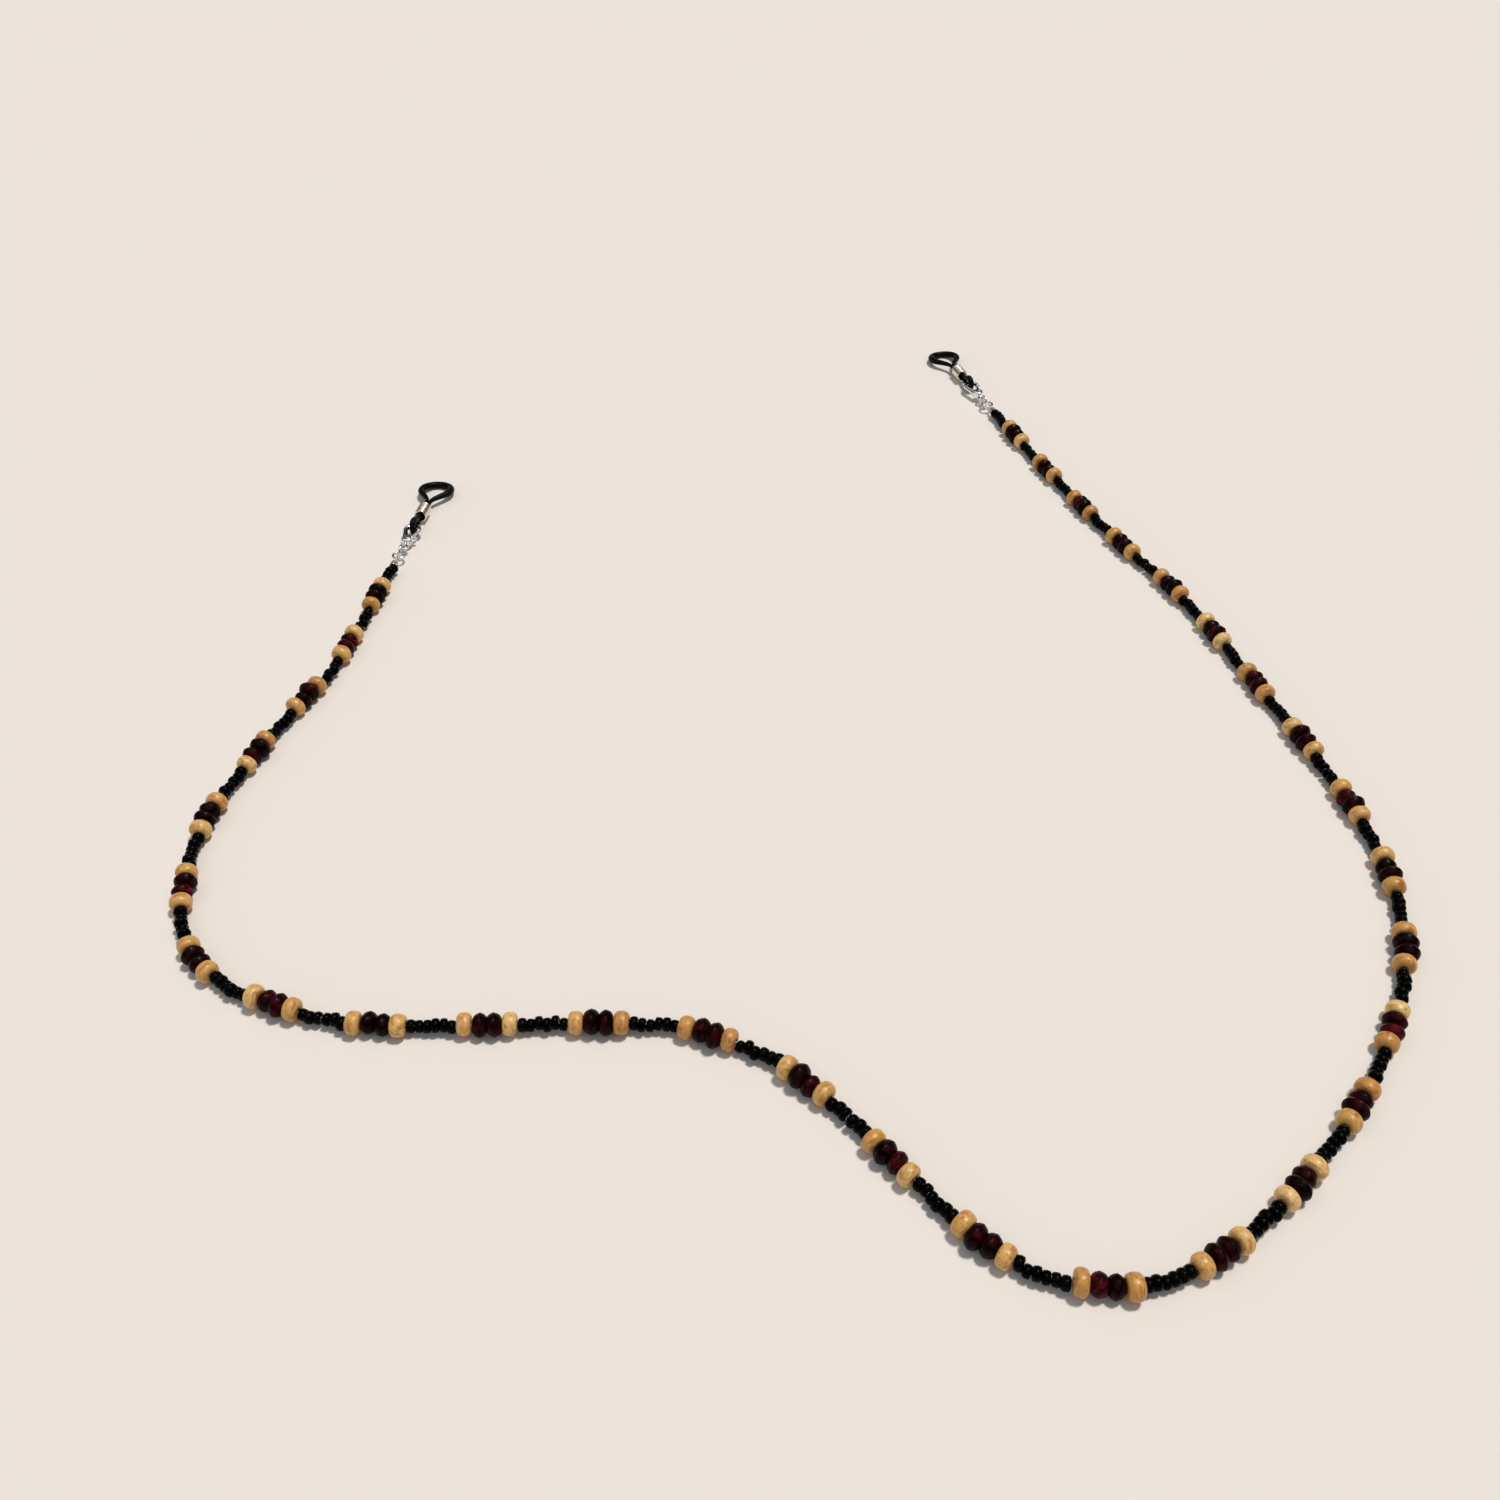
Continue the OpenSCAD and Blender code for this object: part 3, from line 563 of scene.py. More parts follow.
# %% Light wood: pale, varnished, with fine grain
stained_wood(
    "light_wood",
    tones=[(0.0, (0.53, 0.25, 0.057)), (0.35, (0.645, 0.35, 0.098)), (0.8, (0.73, 0.44, 0.155)),
           (1.0, (0.79, 0.54, 0.23))],
    grain_and_glint_colours=[(0.36, (0.66, 0.48, 0.34)), (0.45, (0.9, 0.8, 0.68)), (0.52, (1.0, 1.0, 1.0)),
                   (0.58, (1.06, 1.04, 0.86)), (0.66, (0.92, 0.76, 0.56))],
    pore_colour=(0.33, 0.13, 0.03), rings=1.1, pores=3.2, rough=(0.34, 0.52), coat=0.3,
    coat_rough=0.3, shine=0.35)

# %% Dark wood: the same turning, stained burgundy until the grain nearly goes
stained_wood(
    "dark_wood",
    tones=[(0.0, (0.0025, 0.0004, 0.0004)), (0.5, (0.005, 0.0005, 0.0007)),
           (0.8, (0.012, 0.001, 0.0016)), (1.0, (0.034, 0.002, 0.004))],
    # The brightest grain streaks turn red: partly uneven stain, partly painted red glints.
    grain_and_glint_colours=[(0.35, grey(0.6)), (0.5, grey(1.0)), (0.62, (4.0, 2.6, 2.8)),
                   (0.72, (8.0, 4.0, 5.0))],
    pore_colour=(0.006, 0.002, 0.002), rings=0.8, pores=3.6, rough=(0.2, 0.36), coat=0.03,
    coat_rough=0.1, shine=0.035)
print("Woods:", ", ".join(finishes))

# %% [markdown]
# ### Black glass
# A seed bead is cut from a drawn glass cane and melted round, so it is glossy but a little rippled.
# It could be clear glass with a black dye in it. But this glass is so dark that no light comes
# through, so a smooth and nearly black surface looks the same and takes far less time.

# %% Black glass
tree, shader = new_finish("seed_glass")
tone = attribute(tree, "tone", "Fac")
ripple = noise(tree, attribute(tree, "bead_place", "Vector"), 1.3, 1.0)
set_inputs(tree, shader, {
    "Base Color": ramp(tree, tone, [(0.0, grey(0.0006)), (1.0, grey(0.002))]),
    "Roughness": between(tree, ripple, 0.02, 0.1),
    "Specular IOR Level": 0.035,
    "Normal": bump(tree, ripple, 0.015),
})

# %% [markdown]
# ### Metals
# The clasps and the rings are plated and bright. The sleeve is silver wire with a slight warm tint,
# a painted reflection of the amber frame of the glasses. The crimp is soft and dull, and the spring
# is bare steel. They differ in colour and polish, but all are handled alike.
# So one function makes all five, with the handling marks on each.

# %% Metals
scratch_roughness = 0.08


def metal(name, colour, dull_colour, rough, scratch_depth):
    """Metal that is dull where it is smeared, with fine scratches."""
    tree, shader = new_finish(name)
    marks = handled(tree, scratch_scale=1400.0, smear_scale=420.0)
    scratched = maths(tree, "MULTIPLY", marks["Scratches"], scratch_roughness)
    set_inputs(tree, shader, {
        "Base Color": blend_colours(tree, marks["Smears"], (*colour, 1.0), (*dull_colour, 1.0)),
        "Metallic": 1.0,
        "Roughness": maths(tree, "ADD", scratched, between(tree, marks["Smears"], *rough)),
        "Normal": bump(tree, marks["Scratches"], scratch_depth),
    })


metal("clasp_metal", (0.86, 0.86, 0.87), (0.74, 0.74, 0.74), (0.06, 0.16), 0.002)
metal("ring_metal", (0.84, 0.84, 0.84), (0.7, 0.7, 0.69), (0.09, 0.2), 0.003)
# The sleeve's warm tint is painted: it stands in for the amber frame of the glasses that it
# reflects.
metal("coil_metal", (0.86, 0.82, 0.7), (0.68, 0.63, 0.5), (0.12, 0.26), 0.003)
metal("crimp_metal", (0.5, 0.5, 0.49), (0.36, 0.36, 0.35), (0.28, 0.45), 0.006)
metal("spring_steel", (0.5, 0.5, 0.5), (0.38, 0.37, 0.36), (0.2, 0.35), 0.002)

# %% [markdown]
# ### Nylon and rubber
# The thread is one clear filament: some light goes through it, and its edges are bright. A little
# cloudiness keeps it from looking like glass. The rubber is matt black cord, with a grey bloom
# where it has been stretched and pulled. The smears of the handling marks serve for that too.

# %% Nylon
tree, shader = new_finish("nylon")
cloudy = noise(tree, object_place(tree), 700.0, 2.0)
set_inputs(tree, shader, {
    "Base Color": ramp(tree, cloudy, [(0.3, (0.80, 0.80, 0.77)), (0.7, (0.9, 0.9, 0.88))]),
    "Roughness": between(tree, cloudy, 0.12, 0.3),
    "Transmission Weight": 0.6,
    "IOR": 1.53,
})

# %% Rubber
tree, shader = new_finish("loop_rubber")
marks = handled(tree, scratch_scale=900.0, smear_scale=300.0)
set_inputs(tree, shader, {
    "Base Color": ramp(tree, marks["Smears"], [(0.35, grey(0.001)), (0.7, grey(0.003))]),
    "Roughness": between(tree, marks["Smears"], 0.3, 0.5),
    "Specular IOR Level": 0.08,
    "Normal": bump(tree, marks["Scratches"], 0.004),
})
print("Finishes:", ", ".join(finishes))

# %% [markdown]
# ## Bead shapes
# A bead is turned on a lathe, so it is drawn as half of its outline, spun about its hole. The
# light beads are plump with a soft lip at the hole. The dark ones are lens-shaped, with a blunt
# rim. The seed beads are cut from glass cane and melted round, so they are nearly rings. There are
# almost two hundred of them and each is tiny, so it has far fewer faces than a wooden one.

# %% Lathe
def lathe(name, outline, sides):
    """Spins an outline of (distance from the axis, height), in millimetres, about Z. It closes to a
    ring, or, if it starts and ends on the axis, to a solid with one point at each pole."""
    solid = outline[0][0] == 0
    spans = len(outline) - 1 if solid else len(outline)
    shape = bmesh.new()
    rings = []
    for k in range(sides):
        turn = 2 * pi * k / sides
        rings.append([
            shape.verts.new((r * cos(turn) * MM, r * sin(turn) * MM, z * MM)) for r, z in outline
        ])
    for k, ring in enumerate(rings):
        after = rings[(k + 1) % sides]
        for i in range(spans):
            j = (i + 1) % len(outline)
            shape.faces.new((ring[i], after[i], after[j], ring[j])).smooth = True
    if solid:
        bmesh.ops.remove_doubles(shape, verts=shape.verts, dist=0.001 * MM)
    bmesh.ops.recalc_face_normals(shape, faces=shape.faces)
    mesh = bpy.data.meshes.new(name)
    shape.to_mesh(mesh)
    shape.free()
    return mesh


def bead(name, outline, sides):
    """A lathe-turned bead that remembers every point's own place in it, in millimetres."""
    mesh = lathe(name, outline, sides)
    own = mesh.attributes.new("bead_place", "FLOAT_VECTOR", "POINT")
    for point, vertex in zip(own.data, mesh.vertices):
        point.vector = vertex.co / MM
    return show(name, mesh)


# %% Outlines
# Shares of a lip and of a rim that their soft corners take up
lip_out, lip_down = 0.4, 0.3
rim_in, rim_top, rim_side = 0.18, 0.6, 0.2


def steps(low, high, count):
    """Evenly spaced values from low to high, both included."""
    return [low + (high - low) * k / count for k in range(count + 1)]


def mirrored(half):
    """An outline from its upper half."""
    return half + [(r, -z) for r, z in reversed(half) if z > 0]


def hole_edge(length, hole, lip):
    """The end of the hole's wall, with a soft lip where it is big enough to show."""
    if not lip:
        return [(hole / 2, length / 2)]
    wall_end = (hole / 2, length / 2 - lip)
    return [wall_end, (hole / 2 + lip * lip_out, length / 2 - lip * lip_down)]


def round_outline(d, length, hole, lip, bulge, count):
    """The hole's edge, and an oval side that bulges out by the given amount."""
    fullness = 0.8
    oval = [
        (d / 2 - bulge + bulge * cos(radians(a)) ** fullness,
         length / 2 * sin(radians(a)) ** fullness)
        for a in steps(90, 0, count)
    ]
    return mirrored([*hole_edge(length, hole, lip), *oval])


def lentil_outline(d, length, hole, face_d, rim, lip, count):
    """The hole's edge, and a slope that falls ever faster to a blunt rim."""
    steepening = 2.8
    slope = [
        (face_d / 2 + (d - face_d) / 2 * t, length / 2 - (length - rim) / 2 * t ** steepening)
        for t in steps(0, 1, count)[:-1]
    ]
    soft_rim = [(d / 2 - rim * rim_in, rim * rim_top), (d / 2, rim * rim_side)]
    return mirrored([*hole_edge(length, hole, lip), *slope, *soft_rim])


# %% One bead of each kind
light_outline = round_outline(light_d, light_l, wood_hole, lip=0.16, bulge=1.35, count=7)
dark_outline = lentil_outline(dark_d, dark_l, wood_hole, dark_face_d, dark_rim, lip=0.14, count=6)
seed_outline = round_outline(seed_d, seed_l, seed_hole, lip=0, bulge=0.5, count=2)
bead_shapes = {
    "light_beads": bead("light_bead", light_outline, sides=28),
    "dark_beads": bead("dark_bead", dark_outline, sides=28),
    "seed_beads": bead("seed_bead", seed_outline, sides=10),
}
for name, shape in bead_shapes.items():
    print(name, len(shape.data.polygons), "faces each")

# %% [markdown]
# ## Stringing the beads
# Hand-strung beads never sit quite straight. Their holes are wider than the thread, so each one
# drops to a side, leans on its neighbour and turns as it likes. No two are of quite the same size
# or length, and none is quite round. Geometry Nodes is made for this: one tree takes a point for
# every bead, puts a copy of the bead on it, faces it along the thread, and adds a little lean,
# sideways play, turn, size and length of its own, all from a fixed seed. Each point also says how
# much freedom its bead has, because the beads beside a bend keep close to the thread. Each bead
# gets its own `tone`. The tree ends by making the copies real and giving them their finish.

# %% The stringing tree and its random draws
stringing, source, sink = new_tree(
    "string_of_beads", "GeometryNodeTree",
    {"Places": "Geometry", "Bead": "Object", "Lean": "Float", "Sideways play": "Float",
     "Smallest": "Float", "Largest": "Float", "Shortest": "Float", "Longest": "Float",
     "Unevenness": "Float", "Seed": "Int", "Finish": "Material"},
    {"Beads": "Geometry"},
)
given = source.outputs


def draw(low, high, turn):
    """A random number for every bead. Each kind of draw has a turn of its own after the seed."""
    seed = maths(stringing, "ADD", given["Seed"], float(turn))
    made = node(stringing, "FunctionNodeRandomValue", {2: low, 3: high, "Seed": seed})
    return made.outputs[1]


def either_way(limit, turn):
    """A random number for every bead, from -limit to limit."""
    return draw(maths(stringing, "MULTIPLY", limit, -1.0), limit, turn)


def stored(name, kind):
    """What every point, or every point of the finished beads, has stored under a name."""
    made = node(stringing, "GeometryNodeInputNamedAttribute", {"Name": name}, data_type=kind)
    return made.outputs[0]


along = stored("along", "FLOAT_VECTOR")
freedom = stored("freedom", "FLOAT")

# %% How far a bead strays sideways, and how much higher a larger one sits
play = either_way(maths(stringing, "MULTIPLY", given["Sideways play"], freedom), 1)
across = vector_maths(stringing, "CROSS_PRODUCT", along, tuple(UP))
size = draw(given["Smallest"], given["Largest"], 4)
place = node(stringing, "GeometryNodeInputPosition").outputs[0]
middle_z = node(stringing, "ShaderNodeSeparateXYZ", {0: place}).outputs["Z"]
growth = maths(stringing, "MULTIPLY", middle_z, maths(stringing, "SUBTRACT", size, 1.0))
rise = node(stringing, "ShaderNodeCombineXYZ", {"Z": growth}).outputs[0]
shove = vector_maths(stringing, "ADD", vector_maths(stringing, "SCALE", across, play), rise)
moved = node(stringing, "GeometryNodeSetPosition", {"Geometry": given["Places"], "Offset": shove})

# %% How it leans, turns and stretches
facing = node(stringing, "FunctionNodeAlignRotationToVector", {"Vector": along}, axis="Z")
most_lean = maths(stringing, "MULTIPLY", given["Lean"], freedom)
lean = node(stringing, "ShaderNodeCombineXYZ",
            {"X": either_way(most_lean, 2), "Z": draw(0.0, 2 * pi, 3)})
leaning = node(stringing, "FunctionNodeEulerToRotation", {0: lean.outputs[0]})
turned = node(stringing, "FunctionNodeRotateRotation",
              {0: facing.outputs[0], 1: leaning.outputs[0]}, rotation_space="LOCAL")
longer = maths(stringing, "SUBTRACT", draw(given["Shortest"], given["Longest"], 6), 1.0)
length = maths(stringing, "ADD", maths(stringing, "MULTIPLY", longer, freedom), 1.0)
scale = node(stringing, "ShaderNodeCombineXYZ", {"X": size, "Y": size, "Z": length})

# %% The copies, made real
shape = node(stringing, "GeometryNodeObjectInfo", {"Object": given["Bead"]})
copies = node(stringing, "GeometryNodeInstanceOnPoints",
              {"Points": moved.outputs[0], "Instance": shape.outputs["Geometry"],
               "Rotation": turned.outputs[0], "Scale": scale.outputs[0]})
toned = node(stringing, "GeometryNodeStoreNamedAttribute",
             {"Geometry": copies.outputs[0], "Name": "tone", "Value": draw(0.0, 1.0, 5)},
             data_type="FLOAT", domain="INSTANCE")
real = node(stringing, "GeometryNodeRealizeInstances", {0: toned.outputs[0]})

# %% Each is a little out of round, in its own way
# Noise has its middle at 0.5. A higher middle here lets a bead shrink more than it swells.
lump_scale, lump_shift, lump_middle = 0.45, 50.0, 0.6
own_lumps = maths(stringing, "MULTIPLY", stored("tone", "FLOAT"), lump_shift)
lumps = node(stringing, "ShaderNodeTexNoise",
             {"Vector": stored("bead_place", "FLOAT_VECTOR"), "W": own_lumps,
              "Scale": lump_scale, "Detail": 1.0}, noise_dimensions="4D")
swelling = maths(stringing, "MULTIPLY",
                 maths(stringing, "SUBTRACT", lumps.outputs[0], lump_middle), given["Unevenness"])
outward = node(stringing, "GeometryNodeInputNormal").outputs[0]
uneven = node(stringing, "GeometryNodeSetPosition",
              {"Geometry": real.outputs[0],
               "Offset": vector_maths(stringing, "SCALE", outward, swelling)})
finished = node(stringing, "GeometryNodeSetMaterial",
                {"Geometry": uneven.outputs[0], "Material": given["Finish"]})
set_inputs(stringing, sink, {0: finished.outputs[0]})
print("The stringing tree has", len(stringing.nodes), "nodes")


# %% [markdown]
# ## The places of the beads
# A maker lays a pattern out on a board before stringing it. The functions below are that board.
# Each gives the distances along the thread at which one kind of bead sits in one length of the
# strand. They follow from the pattern, so a new size for one bead moves all the others.

# %% Where every bead sits
freedom_beside_bend = 0.1


def light_places(s):
    """The two outer beads of every group."""
    return [
        group_start(g) + at + s * bend_extra
        for g in range(groups_before(s), groups_before(s + 1))
        for at in (light_l / 2, group_l - light_l / 2)
    ]


def dark_places(s):
    """The two inner beads of every group."""
    return [
        group_start(g) + group_l / 2 + side * (dark_l + bead_gap) / 2 + s * bend_extra
        for g in range(groups_before(s), groups_before(s + 1)) for side in (-1, 1)
    ]


def seed_places(s):
    """The runs between the groups. A run with a bend in it is shared by two lengths."""
    first_run, last_run = groups_before(s), groups_before(s + 1)
    places = []
    for r in range(first_run, last_run + 1):
        first = beads_before_bend if s and r == first_run else 0
        last = left_run_count if r == 0 else run_count
        if s < strands[-1] and r == last_run:
            last = beads_before_bend
        places += [run_start(r) + seed_l / 2 + k * seed_step + s * bend_extra
                   for k in range(first, last)]
    return places


def bead_freedom(d):
    """The share of its kind's lean, play and length that a bead may use: little beside a bend."""
    beside_bend = any(abs(d - bend_at(s)) < seed_step for s in strands[:-1])
    return freedom_beside_bend if beside_bend else 1.0


print([len(light_places(s)) for s in strands], "light beads in the lengths")

# %% String them, one piece for each kind and each length
# Heights, play and unevenness are in millimetres, and leans in degrees. Sizes and lengths are
# shares of the drawn bead.
bead_kinds = {
    "light_beads": dict(places=light_places, height=light_d / 2, lean=6.0, play=0.2,
                        sizes=(0.93, 1.01), lengths=(0.9, 1.03), unevenness=0.22),
    "dark_beads": dict(places=dark_places, height=dark_d / 2, lean=8.0, play=0.28,
                       sizes=(0.9, 1.07), lengths=(1.02, 1.16), unevenness=0.3),
    "seed_beads": dict(places=seed_places, height=seed_z, lean=11.0, play=0.32,
                       sizes=(0.86, 1.02), lengths=(1.02, 1.14), unevenness=0.15),
}
for number, (kind, way) in enumerate(bead_kinds.items()):
    strung = 0
    for s in strands:
        own_seed = 100 * number + 10 * s + 7
        places = way["places"](s)
        points = bpy.data.meshes.new(f"{kind}_{s + 1}")
        points.from_pydata([thread_point(d, way["height"]) for d in places], [], [])
        points.attributes.new("along", "FLOAT_VECTOR", "POINT")
        points.attributes.new("freedom", "FLOAT", "POINT")
        for k, d in enumerate(places):
            points.attributes["along"].data[k].vector = thread_direction(d)
            points.attributes["freedom"].data[k].value = bead_freedom(d)
        cad_name = f"strand_{s + 1}_{kind}"
        beads = run_tree(show(f"{kind}_{s + 1}", points), stringing, {
            "Bead": bead_shapes[kind], "Lean": radians(way["lean"]),
            "Sideways play": way["play"] * MM, "Smallest": way["sizes"][0],
            "Largest": way["sizes"][1], "Shortest": way["lengths"][0],
            "Longest": way["lengths"][1], "Unevenness": way["unevenness"] * MM,
            "Seed": own_seed, "Finish": finishes[slot_of_node[cad_name]],
        })
        dress(beads, cad_name)
        strung += len(places)
    print(strung, kind.replace("_", " "))
for shape in bead_shapes.values():
    bpy.data.objects.remove(shape)

# %% Tie the threads to their lengths
for s, thread in zip(strands, threads):
    dress(thread, f"strand_{s + 1}_thread")
print("The strand's lengths ride on", [body_of_node[f"strand_{s + 1}_thread"] for s in strands])

# %% [markdown]
# ## Frames for the two ends
# A ring or a clasp is easiest to draw round its own middle. So each end, each clasp and each
# rubber loop gets a frame of its own, a matrix that puts what is drawn there where it hangs.

# %% Frames of the clasp and of the rubber loop
def shifted(x=0.0, y=0.0, z=0.0):
    return Matrix.Translation(Vector((x, y, z)) * MM)


def dipped(angle):
    """A turn that lowers the X axis."""
    return Matrix.Rotation(radians(angle), 4, "Y")


end_frame = {}
for end in ends:
    x_axis = headings[end]
    place = stations[0] if end == "left" else stations[-1]
    turn = Matrix((x_axis, UP.cross(x_axis), UP)).transposed().to_4x4()
    end_frame[end] = Matrix.Translation(place) @ turn
clasp_frame = {e: end_frame[e] @ shifted(tail_x, 0, tail_z) @ dipped(-clasp_pitch) for e in ends}
loop_frame = {
    e: clasp_frame[e] @ shifted(hook_x) @ dipped(clasp_pitch + loop_pitch) for e in ends
}
print("Each clasp tilts up by", round(clasp_pitch, 1), "degrees towards its hook")

# %% [markdown]
# ## Wire: jump rings and the coil sleeve
# A jump ring is a bit of wire bent round until its ends meet. The sleeve is wire wound closely
# round the rubber's neck. Both are one round section that follows a path, so both come from
# Geometry Nodes: a curve, the curve turned into a tube, and its finish.

# %% Wire trees
def wire_tree(name, sizes, draw_path):
    """A tree with named sizes that draws a path and gives it a round wire."""
    inputs = {**{label: "Float" for label in sizes}, "Wire radius": "Float", "Finish": "Material"}
    tree, source, sink = new_tree(name, "GeometryNodeTree", inputs, {"Wire": "Geometry"})
    given = source.outputs
    section = node(tree, "GeometryNodeCurvePrimitiveCircle",
                   {"Resolution": 14, "Radius": given["Wire radius"]}, mode="RADIUS")
    tube = node(tree, "GeometryNodeCurveToMesh",
                {"Curve": draw_path(tree, given), "Profile Curve": section.outputs[0],
                 "Fill Caps": True})
    smooth = node(tree, "GeometryNodeSetShadeSmooth", {"Geometry": tube.outputs[0]})
    real = node(tree, "GeometryNodeRealizeInstances", {0: smooth.outputs[0]})
    finished = node(tree, "GeometryNodeSetMaterial",
                    {"Geometry": real.outputs[0], "Material": given["Finish"]})
    set_inputs(tree, sink, {0: finished.outputs[0]})
    return tree


def arc_path(tree, given):
    """A ring that stays open where the wire was cut."""
    arc = node(tree, "GeometryNodeCurveArc",
               {"Resolution": 72, "Radius": given["Radius"], "Sweep Angle": given["Sweep"]},
               mode="RADIUS")
    return arc.outputs[0]


def helix_path(tree, given):
    """A coil that climbs along Z."""
    helix = node(tree, "GeometryNodeCurveSpiral",
                 {"Resolution": 28, "Rotations": given["Turns"], "Start Radius": given["Radius"],
                  "End Radius": given["Radius"], "Height": given["Height"]})
    return helix.outputs[0]


bent_ring = wire_tree("bent_ring", ("Radius", "Sweep"), arc_path)
wound_coil = wire_tree("wound_coil", ("Radius", "Turns", "Height"), helix_path)


def wire_piece(tree, cad_name, place, wire_d, **sizes):
    """Runs a wire tree and puts its wire in place."""
    piece = show(cad_name + "_wire", bpy.data.meshes.new(cad_name))
    run_tree(piece, tree, {"Wire radius": wire_d / 2 * MM,
                           "Finish": finishes[slot_of_node[cad_name]], **sizes})
    piece.data.transform(place)
    dress(piece, cad_name)


# %% Jump rings and sleeves
# The first ring lies flat and the second stands on its edge. A helix climbs along Z, so a sleeve's
# is laid along the strap.
ring_sizes = {"Radius": ring_r * MM, "Sweep": radians(360 - ring_cut)}
coil_turns = (coil_l - coil_wire_d) / coil_turn
cut_at_side = Matrix.Rotation(radians(90 + ring_cut / 2), 4, "Z")
on_its_edge = Matrix.Rotation(radians(90), 4, "X")
along_x = Matrix(((0, 0, 1), (1, 0, 0), (0, 1, 0))).to_4x4()
for end in ends:
    lying = end_frame[end] @ shifted(strand_ring_x, 0, thread_z) @ cut_at_side
    standing = end_frame[end] @ shifted(clasp_ring_x, 0, ring_z) @ on_its_edge @ cut_at_side
    wire_piece(bent_ring, f"{end}_strand_ring", lying, ring_wire_d, **ring_sizes)
    wire_piece(bent_ring, f"{end}_clasp_ring", standing, ring_wire_d, **ring_sizes)
    sleeve = loop_frame[end] @ shifted(coil_start_x + coil_wire_d / 2) @ along_x
    wire_piece(wound_coil, f"{end}_loop_coil", sleeve, coil_wire_d, Radius=coil_r * MM,
               Turns=coil_turns, Height=coil_turns * coil_turn * MM)
print("Two jump rings of", ring_d, "mm and", round(coil_turns, 1), "turns of sleeve at each end")

# %% [markdown]
# ## Rubber and thread loops
# The rubber is a closed loop of cord, and its section changes along the way. It stands upright in
# its small eye, is squeezed thin in the neck, turns a quarter there and lies flat in its large eye.
# So it is a tube swept round a path that is worked out here, with its own radius at every station.
# The thread's small loop is closed as well, so the same tube makes it.

# %% Swept tubes
def swept(name, path, radii, across, sides, place):
    """A closed tube of round section along a path in millimetres, put in place."""
    shape = bmesh.new()
    rings = []
    for i, middle_point in enumerate(path):
        forward = (path[(i + 1) % len(path)] - path[i - 1]).normalized()
        side = (across[i] - across[i].project(forward)).normalized()
        up = forward.cross(side)
        rings.append([
            shape.verts.new(middle_point + radii[i] * (cos(a) * side + sin(a) * up))
            for a in (2 * pi * k / sides for k in range(sides))
        ])
    for i, ring in enumerate(rings):
        after = rings[(i + 1) % len(rings)]
        for k in range(sides):
            m = (k + 1) % sides
            shape.faces.new((ring[k], after[k], after[m], ring[m])).smooth = True
    bmesh.ops.recalc_face_normals(shape, faces=shape.faces)
    shape.transform(place @ Matrix.Scale(MM, 4))
    mesh = bpy.data.meshes.new(name)
    shape.to_mesh(mesh)
    shape.free()
    return show(name, mesh)


# %% Places on the rubber's outline
def around(x, r, angle):
    """A place on a circle round (x, 0)."""
    return Vector((x + r * cos(radians(angle)), r * sin(radians(angle))))


def departing(angle):
    """Direction in which an arc is left when it is followed clockwise."""
    return Vector((sin(radians(angle)), -cos(radians(angle))))


def mixed(a, b, t):
    return a + (b - a) * t


# %% Half of the rubber loop's outline, from its small eye to its large one
# Angles in degrees at which the eyes are left, and shares of an eye's length that the bends reach
small_side, large_side = 60, 110
small_bulge, large_bulge = 0.8, 0.5
rubber_sides = 20

small_r, neck_r, large_r = small_rubber_d / 2, neck_rubber_d / 2, rubber_d / 2
neck_start, neck_end = Vector((small_eye_l, neck_offset)), Vector((neck_end_x, neck_offset))
small_eye = [(around(0, small_eye_r, a), small_r) for a in steps(180, small_side, 12)]
narrowing = [
    (cubic(around(0, small_eye_r, small_side), small_eye_l * small_bulge * departing(small_side),
           neck_start, Vector((small_eye_l * small_bulge, 0)), t), mixed(small_r, neck_r, t))
    for t in steps(0.1, 0.9, 8)
]
neck = [(mixed(neck_start, neck_end, t), neck_r) for t in steps(0, 1, 20)]
widening = [
    (cubic(neck_end, Vector((large_eye_l * large_bulge, 0)),
           around(large_bend_x, large_eye_r, large_side),
           large_eye_l * large_bulge * departing(large_side), t), mixed(neck_r, large_r, t))
    for t in steps(0.08, 0.92, 10)
]
large_eye = [(around(large_bend_x, large_eye_r, a), large_r) for a in steps(large_side, 0, 16)]
half = small_eye + narrowing + neck + widening + large_eye
print("Half of a rubber loop has", len(half), "stations")


# %% The whole rubber loop
def quarter_turn(x):
    """How far the loop has turned from upright to flat, along its neck."""
    share = (x - small_eye_l) / (neck_end_x - small_eye_l)
    return radians(90) * min(1, max(0, share))


def rubber_point(flat, side):
    """A place on the flat outline, turned and, in the large eye, drooping to the table."""
    turn = quarter_turn(flat.x)
    droop = eye_droop * (max(0, flat.x - neck_end_x) / large_eye_l) ** 2
    return Vector((flat.x, -side * flat.y * sin(turn), side * flat.y * cos(turn) - droop))


loop_outline = [(flat, r, 1) for flat, r in half] + [(flat, r, -1) for flat, r in half[-2:0:-1]]
rubber_path = [rubber_point(flat, side) for flat, _, side in loop_outline]
rubber_radii = [r for _, r, _ in loop_outline]
quarter_turns = [quarter_turn(flat.x) for flat, _, _ in loop_outline]
rubber_across = [Vector((0, cos(turn), sin(turn))) for turn in quarter_turns]
rubber_l = sum((b - a).length for a, b in zip(rubber_path, rubber_path[1:] + rubber_path[:1]))
for end in ends:
    rubber = swept(f"{end}_rubber", rubber_path, rubber_radii, rubber_across, rubber_sides,
                   loop_frame[end])
    dress(rubber, f"{end}_rubber_loop")
print("Each rubber loop is", round(rubber_l, 1), "mm of cord")

# %% The thread's end loops
thread_sides = 14
loop_lean = degrees(asin((thread_loop_r - turn_r) / (thread_loop_x - turn_x)))


def on_edge(x, r, angle):
    """A place on a circle that stands on its edge at the thread's height."""
    p = around(x, r, angle)
    return Vector((p.x, 0, thread_z + p.y))


